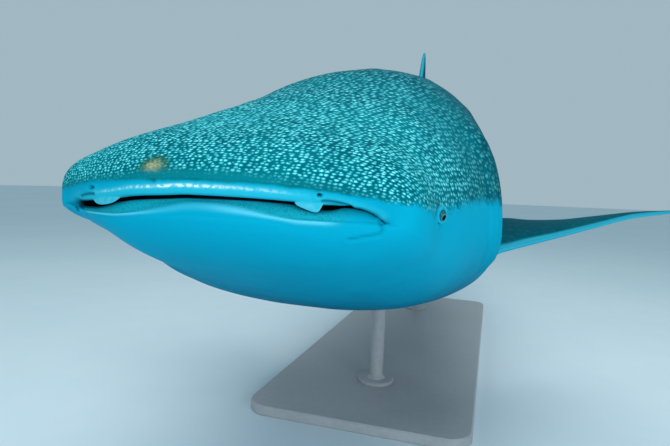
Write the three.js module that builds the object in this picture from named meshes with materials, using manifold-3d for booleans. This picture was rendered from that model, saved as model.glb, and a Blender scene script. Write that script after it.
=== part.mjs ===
// Whale shark, 8 m long, swimming straight ahead, held on a plain display stand.
// Millimetres, +Z up. The head faces -Y, the shark's left side is +X.
import * as THREE from 'three';
import { mergeVertices } from 'three/addons/utils/BufferGeometryUtils.js';
import Module from 'manifold-3d';

const wasm = await Module();
wasm.setup();

// Driving dimensions
const TOTAL = 8000;          // snout to the tip of the upper tail lobe
const MOUTH_LINE = 1260;     // height of the mouth line over the floor
const BEND = 400;            // how far the tail tip swings to the shark's right
const BEND_FROM = 2400;      // where the swing starts, from the snout
const GAP = 0.35;            // air between neighbouring nodes
const CUT = 0.4;             // width of a parting cut through the body
const SEGMENTS = 48;         // points round the body, one every 7.5 degrees

// Lengths along the body, measured back from the snout
const JAW_END = 330;
const HEAD_END = 1130;
const GILLS_END = 1700;
const TRUNK_MIDDLE = 3350;
const TRUNK_END = 5100;
const STALK_END = 6420;
const BODY_END = 6850;

// Gill slits: station, lower and upper end as angles round the body
const GILL_SLITS = [
  { at: 1190, low: -24, high: 44 },
  { at: 1295, low: -23, high: 43 },
  { at: 1400, low: -21, high: 41 },
  { at: 1500, low: -17, high: 38 },
  { at: 1595, low: -10, high: 32 },
];
const GILL_LIFT = 9;         // free edge of a flap over the flank
const GILL_DEPTH = 20;       // bottom of a slit under the flank

// Long ridges: angle round the body, start, full height
const RIDGES = [
  { angle: 90, from: 1300, height: 14 },
  { angle: 67.5, from: 1500, height: 12 },
  { angle: 45, from: 1600, height: 14 },
  { angle: 22.5, from: 1700, height: 15 },
];
const RIDGE_WIDTH = 4;
const KEEL_HEIGHT = 46;      // side keel on the tail stalk

// Head rings, from the back of the mouth pocket over the lips to the cheeks.
// top and bottom: [station, height] on the midline.
// side: [half width, station, height] at the corner of the mouth.
const HEAD_RINGS = [
  { top: [170, 47], bottom: [170, 30], side: [350, 236, 2], power: 2.5 },
  { top: [95, 54], bottom: [98, 28], side: [402, 202, 0], power: 2.5 },
  { top: [38, 54], bottom: [44, 33], side: [430, 173, -7], power: 2.5 },
  { top: [13, 51], bottom: [24, 38], side: [440, 163, -9], power: 2.5 },
  { top: [3, 57], bottom: [13, 31], side: [448, 158, -9], power: 2.5 },
  { top: [0, 73], bottom: [3, 13], side: [462, 156, -8], power: 2.5 },
  { top: [5, 98], bottom: [0, 0], side: [483, 160, -5], power: 2.55 },
  { top: [20, 127], bottom: [9, -22], side: [511, 171, 0], power: 2.6 },
  { top: [54, 158], bottom: [44, -62], side: [533, 195, -2], power: 2.7 },
  { top: [108, 188], bottom: [105, -104], side: [543, 242, -10], power: 2.75 },
  { top: [200, 224], bottom: [200, -146], side: [545, 312, -22], power: 2.75 },
  { top: [330, 264], bottom: [330, -197], side: [545, 405, -38], power: 2.7 },
  { top: [460, 305], bottom: [460, -252], side: [558, 500, -57], power: 2.6 },
  { top: [600, 351], bottom: [600, -310], side: [578, 600, -76], power: 2.5 },
];
const CORNER_PULL = 2.15;    // how late a head ring turns back to the corner

// Body sections: station, half width, top, bottom, height of the widest line
const SECTIONS = [
  { at: 600, half: 578, top: 351, bottom: -310, widest: -76, power: 2.5 },
  { at: 1000, half: 650, top: 490, bottom: -433, widest: -98, power: 2.35 },
  { at: 1500, half: 722, top: 672, bottom: -500, widest: -114, power: 2.25 },
  { at: 2000, half: 716, top: 768, bottom: -531, widest: -80, power: 2.15 },
  { at: 2700, half: 664, top: 802, bottom: -545, widest: -24, power: 2.05 },
  { at: 3500, half: 580, top: 776, bottom: -515, widest: 36, power: 2 },
  { at: 4300, half: 484, top: 725, bottom: -445, widest: 84, power: 2 },
  { at: 5000, half: 386, top: 660, bottom: -346, widest: 124, power: 2 },
  { at: 5600, half: 292, top: 582, bottom: -226, widest: 158, power: 2 },
  { at: 6200, half: 206, top: 498, bottom: -96, widest: 188, power: 2 },
  { at: 6600, half: 148, top: 446, bottom: -16, widest: 206, power: 2 },
  { at: 6850, half: 96, top: 396, bottom: 50, widest: 214, power: 2 },
];

// Stand
const BASE = { length: 3500, width: 1300, height: 60, corner: 130, bevel: 8, centre: 3350 };
const RODS = [
  { name: 'stand_rod_front', at: 2250, radius: 46 },
  { name: 'stand_rod_rear', at: 4450, radius: 40 },
];

const rad = (degrees) => (degrees * Math.PI) / 180;

const mix = (a, b, s) => a + (b - a) * s;

const clamp01 = (v) => Math.min(1, Math.max(0, v));

const smooth = (edge0, edge1, v) => {
  const s = clamp01((v - edge0) / (edge1 - edge0));
  return s * s * (3 - 2 * s);
};

// Monotone cubic curve through [x, y] pairs
function curveThrough(points) {
  const n = points.length;
  const step = [];
  const slope = [];
  for (let i = 0; i < n - 1; i += 1) {
    step.push(points[i + 1][0] - points[i][0]);
    slope.push((points[i + 1][1] - points[i][1]) / step[i]);
  }
  const tangent = [slope[0]];
  for (let i = 1; i < n - 1; i += 1) {
    if (slope[i - 1] * slope[i] <= 0) {
      tangent.push(0);
    } else {
      const w1 = 2 * step[i] + step[i - 1];
      const w2 = step[i] + 2 * step[i - 1];
      tangent.push((w1 + w2) / (w1 / slope[i - 1] + w2 / slope[i]));
    }
  }
  tangent.push(slope[n - 2]);
  return (x) => {
    let i = 0;
    while (i < n - 2 && x > points[i + 1][0]) {
      i += 1;
    }
    const h = step[i];
    const s = clamp01((x - points[i][0]) / h);
    const s2 = s * s;
    const s3 = s2 * s;
    return (2 * s3 - 3 * s2 + 1) * points[i][1] + (s3 - 2 * s2 + s) * h * tangent[i]
      + (3 * s2 - 2 * s3) * points[i + 1][1] + (s3 - s2) * h * tangent[i + 1];
  };
}

const sectionCurve = (key) => curveThrough(SECTIONS.map((row) => [row.at, row[key]]));
const body = {
  half: sectionCurve('half'),
  top: sectionCurve('top'),
  bottom: sectionCurve('bottom'),
  widest: sectionCurve('widest'),
  power: sectionCurve('power'),
};

// Sideways swing of the body at a station
function bend(t) {
  const s = Math.max(0, (t - BEND_FROM) / (TOTAL - BEND_FROM));
  return -BEND * s * s;
}

// From the shark's own measures to the frame of the part
const place = (x, t, z) => [x + bend(t), t - TOTAL / 2, z + MOUTH_LINE];

// Height of the flaps, slits, ridges and keels over the plain body
function relief(t, degrees) {
  const side = Math.abs(degrees) > 90 ? Math.sign(degrees) * 180 - degrees : degrees;
  let height = 0;
  for (const slit of GILL_SLITS) {
    const window = smooth(slit.low, slit.low + 8, side) * (1 - smooth(slit.high - 8, slit.high, side));
    const d = t - slit.at;
    if (d <= 0) {
      height += GILL_LIFT * window * smooth(-70, -2, d);
    } else {
      height -= GILL_DEPTH * window * (1 - smooth(12, 46, d)) - (GILL_LIFT + GILL_DEPTH) * window * (1 - smooth(0, 8, d));
    }
  }
  for (const ridge of RIDGES) {
    const shape = Math.exp(-(((side - ridge.angle) / RIDGE_WIDTH) ** 2));
    const grow = smooth(ridge.from, ridge.from + 900, t) * (1 - smooth(6500, 6850, t));
    height += ridge.height * shape * grow;
  }
  const keel = Math.exp(-(((side - 6) / 9) ** 2));
  height += KEEL_HEIGHT * keel * smooth(5300, 6200, t) * (1 - smooth(6500, 6900, t));
  return height;
}

// One point of a head ring
function headPoint(ring, degrees) {
  const c = Math.cos(rad(degrees));
  const s = Math.sin(rad(degrees));
  const across = Math.sign(c) * Math.abs(c) ** (2 / ring.power);
  const up = Math.abs(s) ** (2 / ring.power);
  const middle = s >= 0 ? ring.top : ring.bottom;
  const t = mix(middle[0], ring.side[1], Math.abs(across) ** CORNER_PULL);
  return [ring.side[0] * across, t, mix(ring.side[2], middle[1], up)];
}

// One point of the body behind the head
function bodyPoint(t, degrees) {
  const c = Math.cos(rad(degrees));
  const s = Math.sin(rad(degrees));
  const power = body.power(t);
  const centre = body.widest(t);
  const x = body.half(t) * Math.sign(c) * Math.abs(c) ** (2 / power);
  const z = (s >= 0 ? body.top(t) - centre : centre - body.bottom(t)) * Math.sign(s) * Math.abs(s) ** (2 / power);
  const out = 1 + relief(t, degrees) / Math.hypot(x, z);
  return [x * out, t, centre + z * out];
}

// Turn triangles into a solid for cutting and joining, with its faces pointing outward
function solidOf(points, faces) {
  let volume = 0;
  for (const [a, b, c] of faces) {
    const [p, q, r] = [points[a], points[b], points[c]];
    volume += p[0] * (q[1] * r[2] - q[2] * r[1]) + p[1] * (q[2] * r[0] - q[0] * r[2])
      + p[2] * (q[0] * r[1] - q[1] * r[0]);
  }
  const turned = volume < 0 ? faces.map(([a, b, c]) => [a, c, b]) : faces;
  return new wasm.Manifold(new wasm.Mesh({
    numProp: 3,
    vertProperties: new Float32Array(points.flat()),
    triVerts: new Uint32Array(turned.flat()),
  }));
}

function solidFromGeometry(geometry) {
  const plain = geometry.clone();
  plain.deleteAttribute('normal');
  plain.deleteAttribute('uv');
  const merged = mergeVertices(plain, 1e-3);
  return new wasm.Manifold(new wasm.Mesh({
    numProp: 3,
    vertProperties: new Float32Array(merged.attributes.position.array),
    triVerts: new Uint32Array(merged.index.array),
  }));
}

// Move points outward along the mean direction of the faces that meet there
function grown(points, faces, amount) {
  const normals = points.map(() => new THREE.Vector3());
  const corners = points.map((p) => new THREE.Vector3(...p));
  for (const [a, b, c] of faces) {
    const ab = corners[b].clone().sub(corners[a]);
    const ac = corners[c].clone().sub(corners[a]);
    const normal = ab.cross(ac);
    for (const v of [a, b, c]) {
      normals[v].add(normal);
    }
  }
  return corners.map((p, v) => p.addScaledVector(normals[v].normalize(), amount).toArray());
}

// Skin a list of closed rings, close both ends with a fan and grow the result if asked
function loft(rings, grow = 0) {
  const count = rings[0].length;
  const points = rings.flat();
  const faces = [];
  for (let r = 0; r < rings.length - 1; r += 1) {
    for (let i = 0; i < count; i += 1) {
      const a = r * count + i;
      const b = r * count + ((i + 1) % count);
      if (i < count / 2) {
        faces.push([a, a + count, b + count], [a, b + count, b]);
      } else {
        faces.push([a, a + count, b], [b, a + count, b + count]);
      }
    }
  }
  for (const [ring, flip] of [[0, true], [rings.length - 1, false]]) {
    const centre = rings[ring].reduce((sum, p) => sum.map((v, k) => v + p[k] / count), [0, 0, 0]);
    points.push(centre);
    const hub = points.length - 1;
    for (let i = 0; i < count; i += 1) {
      const a = ring * count + i;
      const b = ring * count + ((i + 1) % count);
      faces.push(flip ? [a, b, hub] : [b, a, hub]);
    }
  }
  return solidOf(grow > 0 ? grown(points, faces, grow) : points, faces);
}

// Stations of the plain rings behind the head
function bodyStations() {
  const stations = [700, 820, 960, 1090];
  for (const slit of GILL_SLITS) {
    stations.push(slit.at - 1, slit.at + 9, slit.at + 42);
  }
  for (let t = 1700; t < 6300; t += 240) {
    stations.push(t);
  }
  stations.push(6300, 6450, 6600, 6730, BODY_END);
  return stations;
}

// Whole body from the mouth pocket to the tail, grown outward by a small amount
function wholeBody(grow) {
  const angles = Array.from({ length: SEGMENTS }, (_, i) => (i * 360) / SEGMENTS - 90);
  const wrap = (degrees) => (degrees > 180 ? degrees - 360 : degrees);
  const rings = HEAD_RINGS.map((ring) => angles.map((a) => place(...headPoint(ring, wrap(a)))));
  for (const t of bodyStations()) {
    rings.push(angles.map((a) => place(...bodyPoint(t, wrap(a)))));
  }
  return loft(rings, grow);
}

// Box between two stations of the body, wide and tall enough to hold any part
function slab(from, to) {
  const box = new THREE.BoxGeometry(6000, to - from, 6000);
  box.translate(0, (from + to) / 2 - TOTAL / 2, 0);
  return solidFromGeometry(box);
}

// Keep only the largest closed piece
function largest(solid) {
  const pieces = solid.decompose();
  pieces.sort((a, b) => b.volume() - a.volume());
  return pieces[0];
}

// Ball or oval, for eyes, sockets, nostrils and flaps
function oval(centre, radii, columns, rows) {
  const ball = new THREE.SphereGeometry(1, columns, rows);
  ball.rotateZ(Math.PI / 2);
  ball.scale(...radii);
  ball.translate(...centre);
  return solidFromGeometry(ball);
}

// Skin a fin over chords that run from the leading to the trailing edge
const CHORD_STEPS = [0, 0.05, 0.16, 0.34, 0.58, 0.82, 1];
const CHORD_SHAPE = [0, 0.5, 0.84, 1, 0.8, 0.46, 0.14];

function finSolid(chords) {
  const middles = chords.map((c) => c.front.clone().add(c.back).multiplyScalar(0.5));
  const rings = chords.map((chord, k) => {
    const span = middles[Math.min(k + 1, chords.length - 1)].clone().sub(middles[Math.max(k - 1, 0)]);
    const along = chord.back.clone().sub(chord.front);
    const normal = along.clone().cross(span).normalize();
    const at = (j, sign) => chord.front.clone()
      .addScaledVector(along, CHORD_STEPS[j])
      .addScaledVector(normal, (sign * CHORD_SHAPE[j] * chord.thickness) / 2)
      .toArray();
    const ring = [at(0, 1)];
    for (let j = 1; j < CHORD_STEPS.length; j += 1) {
      ring.push(at(j, 1));
    }
    for (let j = CHORD_STEPS.length - 1; j > 0; j -= 1) {
      ring.push(at(j, -1));
    }
    return ring;
  });
  return loft(rings);
}

// Chords between two edge curves, each a list of [share of the span, x, station, height]
function finBetween(front, back, thickness, steps) {
  const edge = (rows) => [1, 2, 3].map((k) => curveThrough(rows.map((row) => [row[0], row[k]])));
  const frontEdge = edge(front);
  const backEdge = edge(back);
  const thick = curveThrough(thickness);
  const chords = [];
  for (let i = 0; i <= steps; i += 1) {
    const s = 1 - (1 - i / steps) ** 1.25;
    const point = (curves) => new THREE.Vector3(...place(...curves.map((curve) => curve(s))));
    chords.push({ front: point(frontEdge), back: point(backEdge), thickness: thick(s) });
  }
  return finSolid(chords);
}

const mirrored = (rows) => rows.map(([s, x, t, z]) => [s, -x, t, z]);

const wholeShark = wholeBody(0);
const grownShark = wholeBody(GAP);

// Height of the parting face between the jaws at a distance from the midline
const corner = HEAD_RINGS[3].side;
const MOUTH_ARCH = 53;
function partingHeight(x) {
  const share = Math.min(1, Math.abs(x) / corner[0]);
  return corner[2] + MOUTH_ARCH * (1 - share ** 2.5) ** 0.4;
}

// Everything under the parting face and ahead of the jaw joint
function jawSpace(raise, end) {
  const outline = new THREE.Shape();
  outline.moveTo(-1500, -1100);
  outline.lineTo(1500, -1100);
  const steps = 56;
  for (let i = 0; i <= steps; i += 1) {
    const x = 1.02 * corner[0] * Math.cos((Math.PI * i) / steps);
    if (i === 0) {
      outline.lineTo(1500, partingHeight(x) + raise);
    }
    outline.lineTo(x, partingHeight(x) + raise);
    if (i === steps) {
      outline.lineTo(-1500, partingHeight(x) + raise);
    }
  }
  const block = new THREE.ExtrudeGeometry(outline, { depth: end + 500, bevelEnabled: false });
  block.rotateX(Math.PI / 2);
  block.translate(0, end - TOTAL / 2, MOUTH_LINE);
  return solidFromGeometry(block);
}

// Eyes behind the corners of the mouth, each in a raised lid
const EYE = { x: 549, at: 408, height: 11, radius: 23.5, sink: 3 };
const LID = { across: 25, tall: 28, thick: 9 };
const SPIRACLE = { x: 586, at: 650, height: 36, radii: [26, 15, 20] };

function eyeBall(side, grow) {
  const r = EYE.radius + grow;
  return oval(place(side * (EYE.x - EYE.sink), EYE.at, EYE.height), [r, r, r * 1.12], 16, 12);
}

function lidRing(side) {
  const ring = new THREE.TorusGeometry(LID.across, LID.thick, 8, 20);
  ring.scale(1, LID.tall / LID.across, 1);
  ring.rotateX(Math.PI / 2);
  ring.rotateZ(Math.PI / 2);
  ring.rotateZ(side * rad(-7));
  ring.translate(...place(side * (EYE.x - 6), EYE.at, EYE.height));
  return solidFromGeometry(ring);
}

// Nostrils in the upper lip, each with a flap hanging over the mouth
const NOSTRIL = { x: 324, at: 74, height: 69, radii: [13, 24, 8] };
const FLAP = { x: 288, at: 62, height: 44, radii: [37, 17, 27] };

function nasalFlap(side) {
  const leaf = oval(place(side * FLAP.x, FLAP.at, FLAP.height), FLAP.radii, 16, 12);
  return largest(leaf.subtract(grownShark));
}

let skull = wholeShark.intersect(slab(-500, HEAD_END)).subtract(jawSpace(CUT / 2, JAW_END + CUT));
for (const side of [1, -1]) {
  skull = skull.add(lidRing(side));
  skull = skull.subtract(eyeBall(side, GAP));
  skull = skull.subtract(oval(place(side * SPIRACLE.x, SPIRACLE.at, SPIRACLE.height), SPIRACLE.radii, 12, 8));
  skull = skull.subtract(oval(place(side * NOSTRIL.x, NOSTRIL.at, NOSTRIL.height), NOSTRIL.radii, 12, 8));
}
const lowerJaw = wholeShark.intersect(jawSpace(-CUT / 2, JAW_END));

// Fins: edges as [share of the span, x, station, height]
const firstDorsal = finBetween(
  [[0, 0, 3400, 640], [0.2, 0, 3580, 830], [0.55, -4, 3830, 1120], [0.85, -12, 4085, 1380], [1, -20, 4240, 1478]],
  [[0, 0, 4170, 600], [0.14, 0, 4250, 735], [0.22, 0, 4400, 790], [0.36, 0, 4310, 870],
    [0.6, -5, 4240, 1080], [0.85, -12, 4248, 1320], [1, -20, 4290, 1448]],
  [[0, 110], [0.25, 92], [0.6, 60], [1, 22]],
  14,
);
const secondDorsal = finBetween(
  [[0, 0, 5230, 530], [0.25, 0, 5350, 645], [0.65, 0, 5510, 780], [1, 0, 5640, 858]],
  [[0, 0, 5560, 500], [0.2, 0, 5610, 600], [0.3, 0, 5790, 632], [0.48, 0, 5700, 672], [0.8, 0, 5640, 780], [1, 0, 5668, 842]],
  [[0, 56], [0.3, 44], [1, 14]],
  9,
);
const analFin = finBetween(
  [[0, 0, 5440, -120], [0.25, 0, 5540, -250], [0.65, 0, 5680, -410], [1, 0, 5800, -512]],
  [[0, 0, 5700, -90], [0.22, 0, 5740, -205], [0.34, 0, 5900, -250], [0.5, 0, 5830, -300], [0.8, 0, 5795, -425], [1, 0, 5826, -500]],
  [[0, 52], [0.3, 42], [1, 13]],
  9,
);

const PECTORAL_FRONT = [[0, 500, 1440, -270], [0.16, 764, 1620, -192], [0.36, 1016, 1865, -131],
  [0.54, 1225, 2070, -82], [0.72, 1460, 2290, -28], [0.88, 1680, 2480, -3], [1, 1872, 2660, 12]];
const PECTORAL_BACK = [[0, 500, 2080, -90], [0.16, 751, 2215, -69], [0.26, 898, 2292, -77], [0.4, 1065, 2340, -69],
  [0.56, 1262, 2385, -40], [0.74, 1532, 2490, -3], [0.89, 1725, 2598, 8], [1, 1862, 2704, 14]];
const PECTORAL_THICKNESS = [[0, 90], [0.2, 74], [0.5, 48], [0.8, 26], [1, 13]];

const PELVIC_FRONT = [[0, 175, 3990, -290], [0.25, 280, 4110, -395], [0.65, 425, 4290, -540], [1, 520, 4440, -632]];
const PELVIC_BACK = [[0, 160, 4280, -260], [0.25, 262, 4370, -350], [0.36, 310, 4500, -405],
  [0.55, 370, 4450, -470], [0.8, 455, 4440, -568], [1, 520, 4475, -622]];
const PELVIC_THICKNESS = [[0, 56], [0.3, 44], [1, 13]];

const finPair = (front, back, thickness, steps) => ({
  left: finBetween(front, back, thickness, steps),
  right: finBetween(mirrored(front), mirrored(back), thickness, steps),
});
const pectorals = finPair(PECTORAL_FRONT, PECTORAL_BACK, PECTORAL_THICKNESS, 16);
const pelvics = finPair(PELVIC_FRONT, PELVIC_BACK, PELVIC_THICKNESS, 9);

// Tail fin: a long upper lobe and a shorter lower lobe
const upperLobe = finBetween(
  [[0, 0, 6300, 330], [0.12, 0, 6540, 500], [0.4, 0, 6980, 800], [0.75, 0, 7560, 1250], [1, 0, 7992, 1560]],
  [[0, 0, 6840, -20], [0.12, 0, 7010, 110], [0.3, 0, 7250, 400], [0.6, 0, 7580, 850], [0.85, 0, 7830, 1260], [1, 0, 7996, 1530]],
  [[0, 150], [0.15, 120], [0.5, 64], [1, 18]],
  16,
);
const lowerLobe = finBetween(
  [[0, 0, 6380, 170], [0.2, 0, 6580, -90], [0.6, 0, 6850, -520], [1, 0, 7130, -905]],
  [[0, 0, 7020, 330], [0.2, 0, 7110, 120], [0.45, 0, 7090, -190], [0.8, 0, 7110, -640], [1, 0, 7168, -890]],
  [[0, 130], [0.2, 104], [0.6, 56], [1, 18]],
  14,
);
const tailSpace = slab(STALK_END + CUT, TOTAL + 200);
const tailFin = largest(wholeShark.add(upperLobe).add(lowerLobe).intersect(tailSpace));

const offBody = (solid) => largest(solid.subtract(grownShark));

// Stand: bevelled base plate and two rods with foot flanges and pads
function basePlate() {
  const w = BASE.width / 2 - BASE.bevel;
  const l = BASE.length / 2 - BASE.bevel;
  const r = BASE.corner;
  const outline = new THREE.Shape();
  outline.moveTo(-w + r, -l);
  outline.lineTo(w - r, -l);
  outline.absarc(w - r, -l + r, r, -Math.PI / 2, 0);
  outline.lineTo(w, l - r);
  outline.absarc(w - r, l - r, r, 0, Math.PI / 2);
  outline.lineTo(-w + r, l);
  outline.absarc(-w + r, l - r, r, Math.PI / 2, Math.PI);
  outline.lineTo(-w, -l + r);
  outline.absarc(-w + r, -l + r, r, Math.PI, Math.PI * 1.5);
  const plate = new THREE.ExtrudeGeometry(outline, {
    depth: BASE.height - 2 * BASE.bevel,
    bevelEnabled: true,
    bevelThickness: BASE.bevel,
    bevelSize: BASE.bevel,
    bevelSegments: 1,
    curveSegments: 6,
  });
  plate.translate(0, BASE.centre - TOTAL / 2, BASE.bevel);
  return solidFromGeometry(plate);
}

function standRod(rod) {
  const foot = BASE.height + GAP;
  const belly = MOUTH_LINE + body.bottom(rod.at);
  const r = rod.radius;
  const profile = [[0, foot], [r + 74, foot], [r + 74, foot + 12], [r + 66, foot + 18], [r + 16, foot + 22],
    [r, foot + 38], [r, belly - 150], [r + 12, belly - 110], [r + 64, belly - 52], [r + 74, belly - 34],
    [r + 74, belly + 90], [0, belly + 90]];
  const turned = new THREE.LatheGeometry(profile.map(([x, y]) => new THREE.Vector2(x, y)), 24);
  turned.rotateX(Math.PI / 2);
  turned.translate(bend(rod.at), rod.at - TOTAL / 2, 0);
  return largest(solidFromGeometry(turned).subtract(grownShark));
}

// Nodes
const COLOURS = {
  back: { color: 0x2f5b68, roughness: 0.5, metalness: 0 },
  jaw: { color: 0x9fc3cb, roughness: 0.5, metalness: 0 },
  eye: { color: 0x0b1014, roughness: 0.12, metalness: 0 },
  stand: { color: 0xb9bcbf, roughness: 0.45, metalness: 0.2 },
};

function meshOf(name, solid, colour) {
  const data = solid.getMesh();
  const points = new Float32Array(data.numVert * 3);
  for (let v = 0; v < data.numVert; v += 1) {
    points.set(data.vertProperties.subarray(v * data.numProp, v * data.numProp + 3), v * 3);
  }
  const geometry = new THREE.BufferGeometry();
  geometry.setAttribute('position', new THREE.BufferAttribute(points, 3));
  geometry.setIndex(new THREE.BufferAttribute(new Uint32Array(data.triVerts), 1));
  geometry.computeVertexNormals();
  const mesh = new THREE.Mesh(geometry, new THREE.MeshStandardMaterial(COLOURS[colour]));
  mesh.name = name;
  return mesh;
}

const group = new THREE.Group();
group.name = 'whale_shark';
group.add(meshOf('head', largest(skull), 'back'));
group.add(meshOf('lower_jaw', largest(lowerJaw), 'jaw'));
group.add(meshOf('gill_region', wholeShark.intersect(slab(HEAD_END + CUT, GILLS_END)), 'back'));
group.add(meshOf('trunk_front', wholeShark.intersect(slab(GILLS_END + CUT, TRUNK_MIDDLE)), 'back'));
group.add(meshOf('trunk_rear', wholeShark.intersect(slab(TRUNK_MIDDLE + CUT, TRUNK_END)), 'back'));
group.add(meshOf('tail_stalk', wholeShark.intersect(slab(TRUNK_END + CUT, STALK_END)), 'back'));
group.add(meshOf('caudal_fin', tailFin, 'back'));
group.add(meshOf('first_dorsal_fin', offBody(firstDorsal), 'back'));
group.add(meshOf('second_dorsal_fin', offBody(secondDorsal), 'back'));
group.add(meshOf('anal_fin', offBody(analFin), 'back'));
for (const [word, side] of [['left', 1], ['right', -1]]) {
  group.add(meshOf(`pectoral_fin_${word}`, offBody(pectorals[word]), 'back'));
  group.add(meshOf(`pelvic_fin_${word}`, offBody(pelvics[word]), 'back'));
  group.add(meshOf(`eye_${word}`, eyeBall(side, 0), 'eye'));
  group.add(meshOf(`nasal_flap_${word}`, nasalFlap(side), 'jaw'));
}
group.add(meshOf('stand_base', basePlate(), 'stand'));
for (const rod of RODS) {
  group.add(meshOf(rod.name, standRod(rod), 'stand'));
}

export default group;
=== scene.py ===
# %% [markdown]
# # A whale shark on its display stand
# This lesson dresses the solid model of an eight metre whale shark. The animal swims straight
# ahead with its wide mouth a little open, and two rods hold it over a flat base. The solids give
# the size and the place of every part. Here the flesh gets one continuous skin, with lips,
# nostrils, eyelids, gill slits and ridges, and a coat of pale spots that fades into the belly.

import math

import bmesh
import bpy
import numpy as np
from mathutils import Matrix, Vector
from mathutils.kdtree import KDTree


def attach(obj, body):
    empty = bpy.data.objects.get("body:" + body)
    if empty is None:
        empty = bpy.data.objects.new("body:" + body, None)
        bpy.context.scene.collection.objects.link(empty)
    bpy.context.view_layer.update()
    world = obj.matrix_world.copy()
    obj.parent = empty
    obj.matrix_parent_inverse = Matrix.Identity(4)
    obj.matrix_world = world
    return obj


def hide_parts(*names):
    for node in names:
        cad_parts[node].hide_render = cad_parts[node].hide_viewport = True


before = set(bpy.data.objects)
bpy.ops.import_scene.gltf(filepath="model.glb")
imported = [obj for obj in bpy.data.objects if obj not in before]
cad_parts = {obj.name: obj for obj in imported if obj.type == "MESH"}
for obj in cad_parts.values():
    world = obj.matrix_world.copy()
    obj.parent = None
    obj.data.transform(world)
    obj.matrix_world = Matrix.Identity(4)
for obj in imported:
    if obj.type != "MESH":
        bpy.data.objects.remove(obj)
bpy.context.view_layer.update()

# %% [markdown]
# ## The camera
# The photograph was taken close in front of the snout, a little to the shark's left and just above
# the line of the mouth. The view here was found by matching the corners of the mouth, the nostrils,
# the eye and the outline, so it is written as a place, three angles and a lens. The standard view
# keeps the strong blue-green of the paint as it is mixed, where a film-like view would wash it out.

# %% Camera in front of the snout
TOTAL = 8.0          # snout to the tip of the tail, in metres
MOUTH_LINE = 1.26    # height of the mouth line over the floor
YAW = math.radians(-17.3)
PITCH = math.radians(-4.1)
ROLL = math.radians(2.1)
CAMERA_LEFT, CAMERA_AHEAD, CAMERA_UP = 0.679, 0.977, 0.08    # from the snout, in metres
LENS, SENSOR = 26.92, 36.0    # in millimetres


def add_object(name, data):
    """A new object that holds the data, placed in the scene."""
    made = bpy.data.objects.new(name, data)
    bpy.context.collection.objects.link(made)
    return made


def camera_axes():
    """Right, up and forward directions of the camera, with its small roll."""
    level = math.cos(PITCH)
    forward = Vector((math.sin(YAW) * level, math.cos(YAW) * level, math.sin(PITCH)))
    right = forward.cross(Vector((0, 0, 1))).normalized()
    up = right.cross(forward)
    rolled_right = right * math.cos(ROLL) + up * math.sin(ROLL)
    rolled_up = up * math.cos(ROLL) - right * math.sin(ROLL)
    return rolled_right, rolled_up, forward


right, up, forward = camera_axes()
camera_data = bpy.data.cameras.new("photo_view")
camera_data.sensor_width = SENSOR
camera_data.lens = LENS
camera_data.clip_start = 0.05
camera_data.clip_end = 300.0
camera = add_object("photo_view", camera_data)
turn = Matrix((right, up, -forward)).transposed().to_4x4()
camera_place = (CAMERA_LEFT, -CAMERA_AHEAD - TOTAL / 2, MOUTH_LINE + CAMERA_UP)
camera.matrix_world = Matrix.Translation(camera_place) @ turn
bpy.context.scene.camera = camera
bpy.context.scene.view_settings.view_transform = "Standard"
print("camera at", [round(v, 3) for v in camera.location])

# %% [markdown]
# ## The form of the body
# A shark's body is a tube, so it can be described by rings. The first rings lie inside the mouth,
# the next ones roll over the lips, and the rest run back along the head and trunk to the tail.
# Each ring of the head knows where it crosses the midline above and below, and where it turns at
# the corner of the mouth. Behind the head a ring is a plain upright section. All measures are in
# millimetres, as a sculptor would note them.

# %% Rings of the head and sections of the body
# midline above (station, height), midline below, corner (half width, station, height), fullness
HEAD_RINGS = [
    ((170, 47), (170, 30), (350, 236, 2), 2.5),
    ((95, 54), (98, 28), (402, 202, 0), 2.5),
    ((38, 54), (44, 33), (430, 173, -7), 2.5),
    ((13, 51), (24, 38), (440, 163, -9), 2.5),
    ((3, 57), (13, 31), (448, 158, -9), 2.5),
    ((0, 73), (3, 13), (462, 156, -8), 2.5),
    ((5, 98), (0, 0), (483, 160, -5), 2.55),
    ((20, 127), (9, -22), (511, 171, 0), 2.6),
    ((54, 158), (44, -62), (533, 195, -2), 2.7),
    ((108, 188), (105, -104), (543, 242, -10), 2.75),
    ((200, 224), (200, -146), (545, 312, -22), 2.75),
    ((330, 264), (330, -197), (545, 405, -38), 2.7),
    ((460, 305), (460, -252), (558, 500, -57), 2.6),
]
CORNER_PULL = 2.15

# station, half width, top, bottom, height of the widest line, fullness
SECTIONS = [
    (600, 578, 351, -310, -76, 2.5),
    (1000, 650, 490, -433, -98, 2.35),
    (1500, 722, 672, -500, -114, 2.25),
    (2000, 716, 768, -531, -80, 2.15),
    (2700, 664, 802, -545, -24, 2.05),
    (3500, 580, 776, -515, 36, 2.0),
    (4300, 484, 725, -445, 84, 2.0),
    (5000, 386, 660, -346, 124, 2.0),
    (5600, 292, 582, -226, 158, 2.0),
    (6200, 206, 498, -96, 188, 2.0),
    (6600, 148, 446, -16, 206, 2.0),
    (6850, 96, 396, 50, 214, 2.0),
]


def all_rails():
    """One row per ring: station and height above, below and at the side, half width, fullness."""
    rows = [(a[0], a[1], b[0], b[1], c[0], c[1], c[2], n) for a, b, c, n in HEAD_RINGS]
    rows += [(t, top, t, low, half, t, wide, n) for t, half, top, low, wide, n in SECTIONS]
    table = np.array(rows, dtype=float)
    table[:, :7] /= 1000.0
    return table


rails = all_rails()
print(len(HEAD_RINGS), "rings on the head and", len(SECTIONS), "sections behind it")

# %% [markdown]
# ## Smooth curves between the rings
# The rings are joined with a monotone cubic curve, which never overshoots, so a lip doesn't grow a
# bump that nobody asked for. The curve is then softened a little behind the lips, as flesh is, and
# the rings are set close together where the lips, the eye and the gills need detail.

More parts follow.
